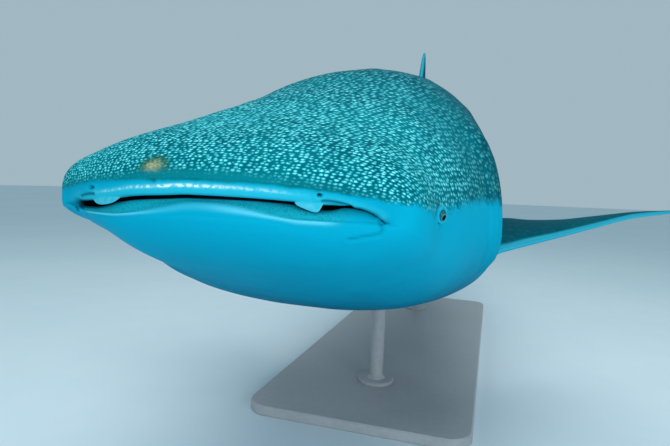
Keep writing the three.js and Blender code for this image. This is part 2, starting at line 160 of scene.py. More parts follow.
# %% Curves through the named stations
def monotone_curve(x, y, at):
    """Monotone cubic through the points x, y, read at the places in at."""
    step = np.diff(x)
    slope = np.diff(y) / step
    tangent = np.zeros_like(y)
    tangent[0], tangent[-1] = slope[0], slope[-1]
    w1 = 2 * step[1:] + step[:-1]
    w2 = step[1:] + 2 * step[:-1]
    same = slope[:-1] * slope[1:] > 0
    safe_a = np.where(same, slope[:-1], 1.0)
    safe_b = np.where(same, slope[1:], 1.0)
    tangent[1:-1] = np.where(same, (w1 + w2) / (w1 / safe_a + w2 / safe_b), 0.0)
    i = np.clip(np.searchsorted(x, at) - 1, 0, len(x) - 2)
    s = np.clip((at - x[i]) / step[i], 0, 1)
    h00, h10 = 2 * s**3 - 3 * s**2 + 1, s**3 - 2 * s**2 + s
    h01, h11 = 3 * s**2 - 2 * s**3, s**3 - s**2
    near = h00 * y[i] + h10 * step[i] * tangent[i]
    return near + h01 * y[i + 1] + h11 * step[i] * tangent[i + 1]


def smooth(low, high, value):
    """Soft step from 0 at low to 1 at high."""
    s = np.clip((value - low) / (high - low), 0, 1)
    return s * s * (3 - 2 * s)


def hump(value, middle, width):
    """Soft hump of height 1."""
    return np.exp(-(((value - middle) / width) ** 2))


def ring_places():
    """Distance of each ring from the first, measured along the surface."""
    move = np.diff(rails, axis=0)
    above = np.hypot(move[:, 0], move[:, 1])
    below = np.hypot(move[:, 2], move[:, 3])
    side = np.sqrt(move[:, 4] ** 2 + move[:, 5] ** 2 + move[:, 6] ** 2)
    return np.concatenate([[0], np.cumsum((above + below + side) / 3)])


places = ring_places()
LIP_RING, CHEEK_RING = 3, 7
print("lip edge at", round(places[LIP_RING], 3), "m along the surface, tail at", round(places[-1], 2))

# %% [markdown]
# ## Where the rings lie
# A mesh needs many points only where the form is small. The lips get a ring every few millimetres,
# the eyes and the gills nearly as many, and the plain trunk far fewer. The same is done round the
# body, where the points crowd at the height of the eye and at the nostrils.

# %% Close rings where detail needs them
SOFT_STEPS = 24    # reach of the softening behind the lips, in steps of the fine curve


def ring_spacing(p):
    """Distance to the next ring, in metres, at a place along the surface."""
    station = np.interp(p, places, rails[:, 5])
    if p < places[LIP_RING - 1]:
        return 0.012
    if p < places[CHEEK_RING]:
        return 0.0027
    if station < 0.36:
        return 0.0055
    if station < 0.52:
        return 0.0036
    if station < 1.12:
        return 0.008
    if station < 1.7:
        return 0.0045
    return 0.013


def dense_rails():
    """Rails at every ring of the skin, softened behind the lips."""
    fine = np.arange(0, places[-1], 0.002)
    curves = np.stack([monotone_curve(places, rails[:, k], fine) for k in range(8)], axis=1)
    reach = 3 * SOFT_STEPS
    kernel = np.exp(-0.5 * (np.arange(-reach, reach + 1) / SOFT_STEPS) ** 2)
    kernel /= kernel.sum()
    padded = np.pad(curves, ((reach, reach), (0, 0)), mode="edge")
    soft = np.stack([np.convolve(padded[:, k], kernel, mode="valid") for k in range(8)], axis=1)
    softened = smooth(places[6], places[9], fine) * (1 - smooth(places[-1] - 0.3, places[-1], fine))
    curves += (soft - curves) * softened[:, None]
    at = [0.0]
    while at[-1] < places[-1] - 0.003:
        at.append(at[-1] + ring_spacing(at[-1]))
    at = np.minimum(np.array(at), places[-1])
    return at, np.stack([np.interp(at, fine, curves[:, k]) for k in range(8)], axis=1)


ring_at, ring_rails = dense_rails()
ring_index = np.interp(ring_at, places, np.arange(len(places)))
print(len(ring_at), "rings in the skin")

# %% Angles round the body, closer at the eyes, mouth corners and nostrils
def both_sides(angle):
    """Angle over the widest line in degrees, the same on the left and on the right."""
    return np.where(angle > 90, 180 - angle, angle)


def column_angles(count=436):
    """Angles in degrees from the belly round by the shark's left side."""
    fine = np.linspace(-90, 270, 7201)
    side = both_sides(fine)
    density = 1 + 1.9 * hump(side, 5, 8.5) + 0.9 * hump(side, 52, 8)
    total = np.concatenate([[0], np.cumsum((density[1:] + density[:-1]) / 2)])
    wanted = np.linspace(0, total[-1], count + 1)[:-1]
    return np.interp(wanted, total, fine)


columns = column_angles()
column_side = both_sides(columns)
print(len(columns), "points in each ring")

# %% [markdown]
# ## From rings to a surface
# Every point is named by its ring and its angle. The corner pull bends the head rings round the
# arc of the mouth, seen from above. The tail swings gently to one side, as in slow swimming, by
# moving each section sideways.

# %% Plain surface of the body
SWING_START = 2.4    # station where the swing begins, in metres
TAIL_SWING = 0.40    # sideways move at the tip of the tail, in metres


def powered(angle, fullness):
    """Across and up factors of a full oval, and whether the angle is in its upper half."""
    c, s = np.cos(np.radians(angle)), np.sin(np.radians(angle))
    return np.sign(c) * np.abs(c) ** (2 / fullness), np.abs(s) ** (2 / fullness), s >= 0


def plain_surface():
    """Grid of points, ring by ring: x to the shark's left, station back from the snout, height."""
    r = ring_rails[:, :, None]
    across, rise, above = powered(columns[None, :], r[:, 7])
    middle_station = np.where(above, r[:, 0], r[:, 2])
    middle_height = np.where(above, r[:, 1], r[:, 3])
    station = middle_station + (r[:, 5] - middle_station) * np.abs(across) ** CORNER_PULL
    height = r[:, 6] + (middle_height - r[:, 6]) * rise
    return np.stack([r[:, 4] * across, station, height], axis=2)


def grid_normals(grid):
    """Outward direction at each point of the grid."""
    along = np.gradient(grid, axis=0)
    around = (np.roll(grid, -1, axis=1) - np.roll(grid, 1, axis=1)) / 2
    normal = np.cross(along, around)
    length = np.linalg.norm(normal, axis=2, keepdims=True)
    return normal / np.maximum(length, 1e-12)


def swing(station):
    """Sideways move of the body at a station: the tail swings to the shark's right."""
    s = np.maximum(0, (station - SWING_START) / (TOTAL - SWING_START))
    return -TAIL_SWING * s * s


def to_frame(points):
    """From the shark's own measures to the frame of the solid model."""
    out = np.array(points, dtype=float)
    out[..., 0] += swing(points[..., 1])
    out[..., 1] -= TOTAL / 2
    out[..., 2] += MOUTH_LINE
    return out


plain_grid = plain_surface()
print("plain surface of", plain_grid.shape[0] * plain_grid.shape[1], "points")

# %% [markdown]
# ## The uneven mouth
# The mouth of the living animal isn't a mirror image. On the shark's right the lips sag and part a
# little and the jaw sits higher. Near the left corner both lips rise. A few curves over the width of
# the mouth move the lips up or down, which keeps the rings whole. The cheek beside each corner is
# then eased, because the lips run out there in a tight pleat.

# %% Lifts and sags of the lips
JAW_LIFT = 0.040    # most that the jaw is lifted on the shark's right, in metres

# place across the mouth in metres, move of that place in millimetres
LIPS_SAG = [(-0.60, 0), (-0.44, 0), (-0.36, 12), (-0.28, 16), (-0.20, 14), (-0.15, 9), (-0.10, 6),
            (-0.05, 4), (0.02, 0), (0.60, 0)]
LOWER_LIP_LIFT = [(-0.60, 0), (-0.41, -2), (-0.36, -8), (-0.30, -8), (-0.24, -2), (-0.20, 3), (-0.10, 3.5),
                  (0.0, 5), (0.15, 6), (0.25, 4.5), (0.30, -3), (0.33, 0), (0.36, 9), (0.40, 12),
                  (0.43, 6), (0.46, 0), (0.60, 0)]
UPPER_LIP_LIFT = [(-0.60, 0), (0.30, 0), (0.34, 5), (0.385, 8), (0.425, 4), (0.45, 0), (0.60, 0)]


def curve_of(rows, at):
    """Smooth curve through rows of place and value."""
    table = np.array(rows, dtype=float)
    return monotone_curve(table[:, 0], table[:, 1], at)


def settle_mouth(grid):
    """Small lifts and sags that keep the mouth from being a perfect mirror image."""
    depth = ring_index[:, None]
    x_now = grid[..., 0]
    under = (columns[None, :] < 0) | (columns[None, :] > 180)
    lips = smooth(0.5, 2.5, depth) * np.where(
        under, 1 - smooth(4.8, 7.2, depth), 1 - smooth(6.0, 9.5, depth))
    lip_edge = smooth(0.5, 2.5, depth) * (1 - smooth(3.6, 5.0, depth))
    sag, lift, arch = (curve_of(rows, x_now) for rows in (LIPS_SAG, LOWER_LIP_LIFT, UPPER_LIP_LIFT))
    grid[..., 2] -= lips * sag / 1000
    grid[..., 2] += lip_edge * np.where(under, lift, arch) / 1000
    below_side = smooth(2, 34, -column_side)[None, :]
    jaw = below_side * smooth(6.0, 8.0, depth) * (1 - smooth(12.0, 13.5, depth))
    grid[..., 2] += JAW_LIFT * jaw * smooth(0.20, 0.40, -x_now)
    return grid


def ease_corner(grid, rounds=600):
    """Soften the cheek beside the corner of the mouth, where the two lips run out."""
    side = column_side[None, :, None]
    rows = np.nonzero((ring_index > 4.3) & (ring_index < 10.5))[0]
    depth = ring_index[rows][:, None, None]
    amount = smooth(4.3, 5.4, depth) * (1 - smooth(8.5, 10.5, depth)) * (1 - smooth(5, 17, np.abs(side)))
    part = grid[rows]
    for _ in range(rounds):
        mean = (np.roll(part, 1, axis=1) + np.roll(part, -1, axis=1)) / 2
        part = part + amount * 0.8 * (mean - part)
    grid[rows] = part
    return grid


skin_grid = ease_corner(settle_mouth(plain_grid))
skin_normals = grid_normals(skin_grid)
print("widest point", round(float(skin_grid[..., 0].max()), 3), "m from the midline")

# %% [markdown]
# ## Relief of the trunk
# Long ridges run down each flank, and the lowest one grows into the keel of the tail stalk. The five
# gill slits are steps in the skin: each flap rises slowly to its free edge and drops sharply behind
# it. All relief is added to one height map, which then pushes the skin out or in.

# %% Ridges, keels and gill slits
# gill slits: station, lowest and highest angle; ridges: angle, station where it starts, height
GILL_SLITS = [(1.190, -24, 44), (1.295, -23, 43), (1.400, -21, 41), (1.500, -17, 38), (1.595, -10, 32)]
RIDGES = [(90, 1.3, 0.014), (67.5, 1.5, 0.012), (45, 1.6, 0.014), (22.5, 1.7, 0.015)]

side_angle = column_side[None, :]
station = skin_grid[..., 1]
x_place = skin_grid[..., 0]
index = ring_index[:, None]


def ridge_relief():
    """Height of the ridges and of the tail keel."""
    height = np.zeros_like(station)
    fade = 1 - smooth(6.5, 6.85, station)
    for angle, start, tall in RIDGES:
        shape = hump(side_angle, angle, 3.4) + 0.35 * hump(side_angle, angle, 8)
        height += 0.8 * tall * shape * smooth(start, start + 0.9, station) * fade
    keel = hump(side_angle, 6, 9)
    return height + 0.046 * keel * smooth(5.3, 6.2, station) * (1 - smooth(6.5, 6.9, station))


def gill_relief():
    """Flaps that lift towards their free edge and slits that drop behind them."""
    height = np.zeros_like(station)
    for at, low, high in GILL_SLITS:
        lean = at + 0.012 * np.sin(np.radians(side_angle * 3)) - 0.02 * smooth(low + 10, low, side_angle)
        window = smooth(low, low + 9, side_angle) * (1 - smooth(high - 9, high, side_angle))
        d = station - lean
        flap = 0.010 * smooth(-0.075, -0.004, d) * (1 - smooth(-0.004, 0.002, d))
        slit = -0.019 * smooth(-0.003, 0.004, d) * (1 - smooth(0.008, 0.05, d))
        height += window * (flap + slit)
    return height


relief = ridge_relief() + gill_relief()
print("relief from", round(float(relief.min()) * 1000), "to", round(float(relief.max()) * 1000), "mm")

# %% [markdown]
# ## Relief of the face
# The upper lip is a soft roll that catches the light, with a shallow groove over it. The lower lip is
# a narrow flat band with a crest along its lower rim, which ends in a fold at the corner of the
# mouth. Each crest and groove is a soft hump that follows a ring of the skin, so it bends with the
# mouth. Only the folds are drawn as lines on the face, because they cut across the rings.

# %% Lips and the fold at the corner of the mouth
FAR_AWAY = 9.0     # stands for a distance too great to matter, in metres
FACE_DEPTH = 0.22  # the lines drawn on the face end at this station, in metres
upper_half = (side_angle > 0) & (columns[None, :] <= 180)
to_corner = smooth(0.30, 0.43, np.abs(x_place))

# place across the mouth in metres, ring that the crest of the lower lip follows there
CREST = [(-0.60, 5.6), (-0.44, 5.6), (-0.33, 5.62), (-0.21, 5.78), (-0.16, 5.62), (-0.11, 5.25),
         (-0.05, 4.75), (0.05, 4.3), (0.15, 4.6), (0.215, 5.15), (0.28, 5.8), (0.36, 5.9), (0.44, 5.6),
         (0.60, 5.5)]
crest_index = curve_of(CREST, x_place)


def lip_relief():
    """Roll and groove of the upper lip, crest of the lower lip."""
    roll = 0.0065 * hump(index, 4.35, 0.75) - 0.003 * hump(index, 5.75, 0.4)
    band = 0.0035 * hump(index, crest_index, 0.42) - 0.003 * hump(index, crest_index - 0.85, 0.5)
    under = -0.002 * hump(index, crest_index + 0.8, 0.5)
    away = smooth(3, 20, np.abs(side_angle))
    return np.where(upper_half, roll * (1 - to_corner), (band + under) * (1 - to_corner)) * away


def distance_to_path(path, mirror):
    """Distance of each skin point to a line drawn on the face, seen from the front."""
    flat = skin_grid[..., [0, 2]] * np.array([mirror, 1])
    best = np.full(station.shape, FAR_AWAY)
    for a, b in zip(path[:-1], path[1:]):
        ab = b - a
        s = np.clip(((flat - a) @ ab) / (ab @ ab), 0, 1)
        best = np.minimum(best, np.linalg.norm(flat - a - s[..., None] * ab, axis=2))
    return np.where(station < FACE_DEPTH, best, FAR_AWAY)


FOLD_MIDDLE = np.array((0.432, -0.010))
FOLD_RADIUS = 0.014
hook_turn = np.radians(np.linspace(70, -70, 9))
hook = FOLD_MIDDLE + FOLD_RADIUS * np.stack([np.cos(hook_turn), np.sin(hook_turn)], axis=1)
FOLDS = {1: np.vstack([hook, (0.376, -0.036)]), -1: np.array([(0.402, 0.009), (0.360, -0.006)])}
fold_left = distance_to_path(FOLDS[1], 1)
fold_right = distance_to_path(FOLDS[-1], -1)
face = lip_relief()
face += 0.011 * hump(index, 8.6, 1.6) * hump(side_angle, 30, 17) * smooth(0.3, 0.45, -x_place)
face += -0.0030 * hump(fold_left, 0, 0.0032) + 0.0012 * hump(fold_left, 0.010, 0.005)
face += -0.0030 * hump(fold_right, 0, 0.0036)
print("lips, folds and cheek stand up to", round(float(face.max()) * 1000, 1), "mm")

# %% [markdown]
# ## Eyes, spiracles and nostrils
# The eye sits in a shallow hollow, and a small opening, the spiracle, lies behind it. The nostrils
# are pits in the upper lip with a raised rim. All are made by pressing the skin in round a named
# place, so no holes have to be cut in the mesh.

# %% Hollows for the eyes, spiracles and nostrils
EYE_PLACE = np.array((0.547, 0.408, 0.011))
EYE_RADIUS = 0.0235
SPIRACLE_PLACE = np.array((0.579, 0.635, 0.036))
NOSTRILS = [(1, (0.316, 0.067, 0.061), (0.75, 0.75, 0.38)), (-1, (0.298, 0.064, 0.056), (1.8, 1.8, 0.48))]


def oval_distance(place, stretch, side=0):
    """Distance to a place on one side of the head, or on both, with each axis stretched."""
    sideways = np.abs(x_place) if side == 0 else side * x_place
    d = (sideways[..., None] * [1, 0, 0] + skin_grid * [0, 1, 1]) - np.array(place)
    return np.linalg.norm(d / np.array(stretch), axis=2)


eye_near = oval_distance(EYE_PLACE, (1, 1, 1.1))
ahead_of_eye = oval_distance(EYE_PLACE - np.array((0.006, 0.055, 0.0)), (1, 1, 1.2))
face += -0.002 * hump(eye_near, 0, 0.065) - 0.004 * hump(ahead_of_eye, 0, 0.045)
face += -0.014 * (1 - smooth(0.009, 0.018, eye_near))
face += 0.0020 * hump(eye_near, 0.035, 0.004) + 0.0012 * hump(eye_near, 0.047, 0.004)
hole_near = oval_distance(SPIRACLE_PLACE, (1, 1.7, 0.85))
face += 0.003 * hump(hole_near, 0.019, 0.006) - 0.020 * (1 - smooth(0.005, 0.0145, hole_near))
nostril_near = np.full(station.shape, FAR_AWAY)
for side, place, stretch in NOSTRILS:
    near = oval_distance(place, stretch, side)
    nostril_near = np.minimum(nostril_near, near)
    face += 0.0032 * hump(near, 0.018, 0.006) - 0.016 * (1 - smooth(0.003, 0.0105, near))
print("nostrils", round((NOSTRILS[0][1][0] + NOSTRILS[1][1][0]) * 1000), "mm apart")

# %% [markdown]
# ## Grooves beside the nostrils
# A groove runs from each nostril across the lip towards the corner of the mouth. It could be carved
# by hand, but a short falling line with a hollow along it gives the same crease and is easy to move.

# %% Groove from each nostril to the mouth
def falling_line(start, end, height, drop):
    """A line across the lip that starts level and falls towards the corner of the mouth."""
    x_line = np.linspace(start, end, 7)
    return np.stack([x_line, height - drop * ((x_line - start) / (end - start)) ** 2], axis=1)


GROOVES = {1: falling_line(0.320, 0.376, 0.050, 0.011), -1: falling_line(0.280, 0.366, 0.042, 0.010)}
groove_near = np.full(station.shape, FAR_AWAY)
for side, path in GROOVES.items():
    groove_near = np.minimum(groove_near, distance_to_path(path, side))
face += -0.0050 * hump(groove_near, 0, 0.0034) + 0.0015 * hump(groove_near, 0.009, 0.005)
relief += face
groove_length = float(np.linalg.norm(np.diff(GROOVES[1], axis=0), axis=1).sum())
print("the left groove runs", round(groove_length * 1000), "mm")

# %% [markdown]
# ## Unevenness of the flesh
# A big fish is never perfectly smooth. A few layers of soft noise, a couple of millimetres high, break
# the long reflections on the flanks. The noise is made from smoothed random numbers with a fixed
# seed, so it comes out the same each time.

# %% Soft unevenness
def soft_noise(size_along, size_around, seed):
    """Smooth random field over the grid, about -1 to 1, with features of the given sizes."""
    rng = np.random.default_rng(seed)
    rows, cols = max(4, int(7.5 / size_along)), max(6, int(4.0 / size_around))
    coarse = rng.uniform(-1, 1, (rows + 3, cols))
    u = np.clip(station, 0, 7.4) / 7.5 * rows
    v = np.broadcast_to((columns[None, :] + 90) / 360 * cols, station.shape)
    i, j = u.astype(int), v.astype(int)
    fu, fv = smooth(0, 1, u - i), smooth(0, 1, v - j)
    a = coarse[i, j % cols] * (1 - fv) + coarse[i, (j + 1) % cols] * fv
    b = coarse[i + 1, j % cols] * (1 - fv) + coarse[i + 1, (j + 1) % cols] * fv
    return a * (1 - fu) + b * fu


uneven = 0.0035 * soft_noise(0.5, 0.45, 1) + 0.0018 * soft_noise(0.2, 0.2, 2)
uneven = uneven + 0.0008 * soft_noise(0.07, 0.08, 3)
relief += uneven * smooth(6, 9, index)
shaped = skin_grid + skin_normals * relief[..., None]
print("unevenness up to", round(float(np.abs(uneven).max()) * 1000, 1), "mm")

# %% [markdown]
# ## Meshes from grids
# A grid of points becomes a mesh of four-sided faces. Writing the numbers straight into the mesh is
# much faster than adding faces one at a time, and the two open ends are closed with a fan.

# %% Helper that builds a closed mesh from rings
def tube_mesh(name, grid):
    """Closed mesh from rings of points; both ends are closed with a fan of triangles."""
    rows, cols = grid.shape[:2]
    points = np.concatenate([grid.reshape(-1, 3), grid[:1].mean(axis=1), grid[-1:].mean(axis=1)])
    r, c = np.meshgrid(np.arange(rows - 1), np.arange(cols), indexing="ij")
    a, b = r * cols + c, r * cols + (c + 1) % cols
    quads = np.stack([a, a + cols, b + cols, b], axis=-1).reshape(-1, 4)
    ring = np.arange(cols)
    after = (ring + 1) % cols
    first = np.stack([ring, after, np.full(cols, rows * cols)], axis=1)
    base = (rows - 1) * cols
    last = np.stack([base + after, base + ring, np.full(cols, rows * cols + 1)], axis=1)
    loops = np.concatenate([quads.ravel(), first.ravel(), last.ravel()]).astype(np.int32)
    sizes = np.concatenate([np.full(len(quads), 4), np.full(2 * cols, 3)])
    starts = np.concatenate([[0], np.cumsum(sizes)[:-1]]).astype(np.int32)
    mesh = bpy.data.meshes.new(name)
    mesh.vertices.add(len(points))
    mesh.vertices.foreach_set("co", points.astype(np.float32).ravel())
    mesh.loops.add(len(loops))
    mesh.loops.foreach_set("vertex_index", loops)
    mesh.polygons.add(len(sizes))
    mesh.polygons.foreach_set("loop_start", starts)
    mesh.update(calc_edges=True)
    return add_object(name, mesh)


def make_solid(piece):
    """Turn the faces of a closed mesh outward and shade it smooth."""
    work = bmesh.new()
    work.from_mesh(piece.data)
    bmesh.ops.recalc_face_normals(work, faces=work.faces)
    work.to_mesh(piece.data)
    work.free()
    piece.data.shade_smooth()
    return piece


def shark_piece(name, grid):
    """Closed smooth piece from rings in the shark's own measures."""
    return make_solid(tube_mesh(name, to_frame(grid)))


skin = shark_piece("shark_skin", shaped)
print("body skin has", len(skin.data.polygons), "faces")

# %% [markdown]
# ## The fins
# A shark's fin is a stiff plate with a round leading edge and a thin trailing edge. Each fin is
# given by the curves of its two edges, from its root inside the body to its tip, and by its
# thickness. Between the edges the section is that of a smooth wing.

# %% Fins between two edge curves
def fin_grid(front, back, thickness, stations=84, half_points=34):
    """Rings of a fin. Edge rows are share of the span, x, station, height, in millimetres."""
    front, back, thickness = (np.array(rows, dtype=float) for rows in (front, back, thickness))
    s = 1 - (1 - np.linspace(0, 1, stations)) ** 1.4
    lead, trail = (
        np.stack([monotone_curve(rows[:, 0], rows[:, k] / 1000, s) for k in (1, 2, 3)], axis=1)
        for rows in (front, back)
    )
    thick = monotone_curve(thickness[:, 0], thickness[:, 1] / 1000, s)
    round_off = np.sqrt(np.clip(1 - smooth(0.955, 1.03, s) ** 2, 0.01, 1))
    middle = (lead + trail) / 2
    lead = middle + (lead - middle) * round_off[:, None]
    trail = middle + (trail - middle) * round_off[:, None]
    thick = thick * round_off
    chord = trail - lead
    span = np.gradient(middle, axis=0)
    normal = np.cross(chord, span)
    normal /= np.linalg.norm(normal, axis=1, keepdims=True)
    u = (1 - np.cos(np.linspace(0, np.pi, half_points))) / 2
    wing = 5 * (0.2969 * np.sqrt(u) - 0.126 * u - 0.3516 * u**2 + 0.2843 * u**3 - 0.1036 * u**4)
    wing = wing / wing.max() / 2 + 0.03 * u
    core = lead[:, None] + chord[:, None] * u[None, :, None]
    swell = (normal * thick[:, None])[:, None] * wing[None, :, None]
    return np.concatenate([core + swell, (core - swell)[:, :0:-1]], axis=1)


def mirrored(rows):
    """The same edge on the shark's other side."""
    return [(s, -x, t, z) for s, x, t, z in rows]


print("a fin has", fin_grid.__defaults__[0], "rings")

# %% [markdown]
# ## Measures of the fins
# Each fin has three rows: its leading edge, its trailing edge and its thickness. An edge is a list
# of share of the span, distance to the side, station and height, and the thickness goes with the
# share of the span. The notch in a trailing edge is the free rear tip that a shark's fin has.

# %% Paired fins
PECTORAL = (
    [(0, 500, 1440, -270), (0.16, 764, 1620, -192), (0.36, 1016, 1865, -131), (0.54, 1225, 2070, -82),
     (0.72, 1460, 2290, -28), (0.88, 1680, 2480, -3), (1, 1872, 2660, 12)],
    [(0, 500, 2080, -90), (0.16, 751, 2215, -69), (0.26, 898, 2292, -77), (0.4, 1065, 2340, -69),
     (0.56, 1262, 2385, -40), (0.74, 1532, 2490, -3), (0.89, 1725, 2598, 8), (1, 1862, 2704, 14)],
    [(0, 90), (0.2, 74), (0.5, 48), (0.8, 26), (1, 13)],
)
PELVIC = (
    [(0, 175, 3990, -290), (0.25, 280, 4110, -395), (0.65, 425, 4290, -540), (1, 520, 4440, -632)],
    [(0, 160, 4280, -260), (0.25, 262, 4370, -350), (0.36, 310, 4500, -405), (0.55, 370, 4450, -470),
     (0.8, 455, 4440, -568), (1, 520, 4475, -622)],
    [(0, 56), (0.3, 44), (1, 13)],
)
print("pectoral fins reach", PECTORAL[0][-1][1], "mm to the side, pelvic fins", PELVIC[0][-1][1], "mm")

# %% Fins on the middle line
FIRST_DORSAL = (
    [(0, 0, 3400, 640), (0.2, 0, 3580, 830), (0.55, -4, 3830, 1120), (0.85, -12, 4085, 1380),
     (1, -20, 4240, 1478)],
    [(0, 0, 4170, 600), (0.14, 0, 4250, 735), (0.22, 0, 4400, 790), (0.36, 0, 4310, 870),
     (0.6, -5, 4240, 1080), (0.85, -12, 4248, 1320), (1, -20, 4290, 1448)],
    [(0, 110), (0.25, 92), (0.6, 60), (1, 22)],
)
SECOND_DORSAL = (
    [(0, 0, 5230, 530), (0.25, 0, 5350, 645), (0.65, 0, 5510, 780), (1, 0, 5640, 858)],
    [(0, 0, 5560, 500), (0.2, 0, 5610, 600), (0.3, 0, 5790, 632), (0.48, 0, 5700, 672),
     (0.8, 0, 5640, 780), (1, 0, 5668, 842)],
    [(0, 56), (0.3, 44), (1, 14)],
)
ANAL = (
    [(0, 0, 5440, -120), (0.25, 0, 5540, -250), (0.65, 0, 5680, -410), (1, 0, 5800, -512)],
    [(0, 0, 5700, -90), (0.22, 0, 5740, -205), (0.34, 0, 5900, -250), (0.5, 0, 5830, -300),
     (0.8, 0, 5795, -425), (1, 0, 5826, -500)],
    [(0, 52), (0.3, 42), (1, 13)],
)
UPPER_LOBE = (
    [(0, 0, 6300, 330), (0.12, 0, 6540, 500), (0.4, 0, 6980, 800), (0.75, 0, 7560, 1250),
     (1, 0, 7992, 1560)],
    [(0, 0, 6840, -20), (0.12, 0, 7010, 110), (0.3, 0, 7250, 400), (0.6, 0, 7580, 850),
     (0.85, 0, 7830, 1260), (1, 0, 7996, 1530)],
    [(0, 150), (0.15, 120), (0.5, 64), (1, 18)],
)
LOWER_LOBE = (
    [(0, 0, 6380, 170), (0.2, 0, 6580, -90), (0.6, 0, 6850, -520), (1, 0, 7130, -905)],
    [(0, 0, 7020, 330), (0.2, 0, 7110, 120), (0.45, 0, 7090, -190), (0.8, 0, 7110, -640),
     (1, 0, 7168, -890)],
    [(0, 130), (0.2, 104), (0.6, 56), (1, 18)],
)
print("first dorsal fin up to", FIRST_DORSAL[0][-1][3], "mm over the mouth line")

# %% Meshes of all fins
fins = {
    "first_dorsal": FIRST_DORSAL,
    "second_dorsal": SECOND_DORSAL,
    "anal": ANAL,
    "upper_lobe": UPPER_LOBE,
    "lower_lobe": LOWER_LOBE,
    "pectoral_left": PECTORAL,
    "pectoral_right": (mirrored(PECTORAL[0]), mirrored(PECTORAL[1]), PECTORAL[2]),
    "pelvic_left": PELVIC,
    "pelvic_right": (mirrored(PELVIC[0]), mirrored(PELVIC[1]), PELVIC[2]),
}
fin_pieces = {fin_name: shark_piece(fin_name, fin_grid(*edges)) for fin_name, edges in fins.items()}
print("fins:", ", ".join(fin_pieces))

# %% [markdown]
# ## The nasal flaps
# Beside each nostril a lobe of the upper lip hangs down over the slit of the mouth. It is a small
# leaf with a rounded rim that grows out of the lip and gets thinner below. The left one is folded
# to a corner and the right one is broader, so each has its own row of measures.

# %% Nasal flaps
# side, centre x, centre height, half width, half height, turn in degrees, squareness
FLAPS = [(1, 0.2945, 0.0500, 0.0290, 0.0225, -22, 4.5), (-1, 0.234, 0.048, 0.066, 0.031, -9, 2.3)]
LIP_HEIGHTS = [0.0, 0.03, 0.05, 0.06, 0.075, 0.1, 0.13]
LIP_STATIONS = [0.014, 0.016, 0.010, 0.003, 0.0, 0.005, 0.02]


def lip_station(x_now, z_now):
    """Station of the face of the upper lip at a place seen from the front."""
    profile = np.interp(z_now, LIP_HEIGHTS, LIP_STATIONS)
    return profile + 0.156 * (np.abs(x_now) / 0.462) ** CORNER_PULL


def flap_grid(side, middle, height, half_width, half_height, turn_degrees, squareness):
    """Rings of a small leaf that grows out of the lip above and hangs free below."""
    u = np.linspace(0, np.pi, 34)
    v = np.linspace(0, 2 * np.pi, 72, endpoint=False)
    uu, vv = np.meshgrid(u, v, indexing="ij")
    c, s = np.cos(vv), np.sin(vv)
    reach = np.sin(uu) ** 0.6 / (np.abs(c) ** squareness + np.abs(s) ** squareness) ** (1 / squareness)
    slant = math.radians(turn_degrees)
    across, rise = half_width * reach * c, half_height * reach * s
    x_now = middle + across * math.cos(slant) - rise * math.sin(slant)
    z_now = height + across * math.sin(slant) + rise * math.cos(slant)
    free = smooth(height + 0.9 * half_height, height - 0.5 * half_height, z_now)
    middle_station = lip_station(x_now, np.maximum(z_now, 0.045)) + 0.034 - 0.043 * free
    through = (0.0070 - 0.003 * free) * np.cos(uu)
    return np.stack([side * x_now, middle_station - through, z_now], axis=2)


flap_pieces = [shark_piece(f"flap_{row[0]}", flap_grid(*row)) for row in FLAPS]
print("nasal flaps", ", ".join(f"{2000 * row[3]:.0f} mm wide" for row in FLAPS))

# %% [markdown]
# ## Eyelids
# The eye looks a little forward and down. Its lid is a soft ring of skin, thicker above than below,
# on the rim of the hollow. A ring that is joined to the skin gives a cleaner rim than pushing its
# points out.

# %% Eyelid rings
EYE_LOOKS_AHEAD = math.radians(33)
EYE_AXIS = np.array((math.cos(EYE_LOOKS_AHEAD), -math.sin(EYE_LOOKS_AHEAD), 0.0))
EYE_CENTRE = EYE_PLACE + np.array((-0.0020, -0.002, 0.004))
LID_RADIUS = 0.0172    # from the axis of the eye to the middle of the rim, in metres
LID_FAT, LID_FAT_ABOVE = 0.0048, 0.0010
LID_OUT = 0.0070
LID_TALL = 1.15


def around_eye(out, along, rise, side):
    """From distances along the eye's axis, across it and up, to the shark's measures."""
    across = np.array((EYE_AXIS[1], -EYE_AXIS[0], 0.0))
    points = EYE_CENTRE + out[..., None] * EYE_AXIS - along[..., None] * across
    points = points + rise[..., None] * np.array((0, 0, 1.0))
    return points * np.array((side, 1, 1))


def lid_grid(side):
    """A closed ring of skin round the eye, as rings of points round its rim."""
    turn_by = np.linspace(0, 2 * np.pi, 96, endpoint=False)
    spin = np.linspace(0, 2 * np.pi, 24, endpoint=False)
    a, b = np.meshgrid(turn_by, spin, indexing="ij")
    fat = LID_FAT + LID_FAT_ABOVE * np.sin(a)
    radius = LID_RADIUS + fat * np.cos(b)
    out = LID_OUT + fat * 1.1 * np.sin(b)
    return around_eye(out, radius * np.cos(a), LID_TALL * radius * np.sin(a), side)


def ring_mesh(name, grid):
    """Closed ring-shaped mesh from a grid that wraps both ways."""
    rows, cols = grid.shape[:2]
    r, c = np.meshgrid(np.arange(rows), np.arange(cols), indexing="ij")
    ahead, beside = (r + 1) % rows, (c + 1) % cols
    quads = np.stack([r * cols + c, ahead * cols + c, ahead * cols + beside, r * cols + beside], axis=-1)
    mesh = bpy.data.meshes.new(name)
    mesh.from_pydata(grid.reshape(-1, 3).tolist(), [], quads.reshape(-1, 4).tolist())
    return add_object(name, mesh)


lid_pieces = [make_solid(ring_mesh(f"lid_{side}", to_frame(lid_grid(side)))) for side in (1, -1)]
print("eyelid rings", round(2000 * LID_RADIUS, 1), "mm across the middle of the rim")

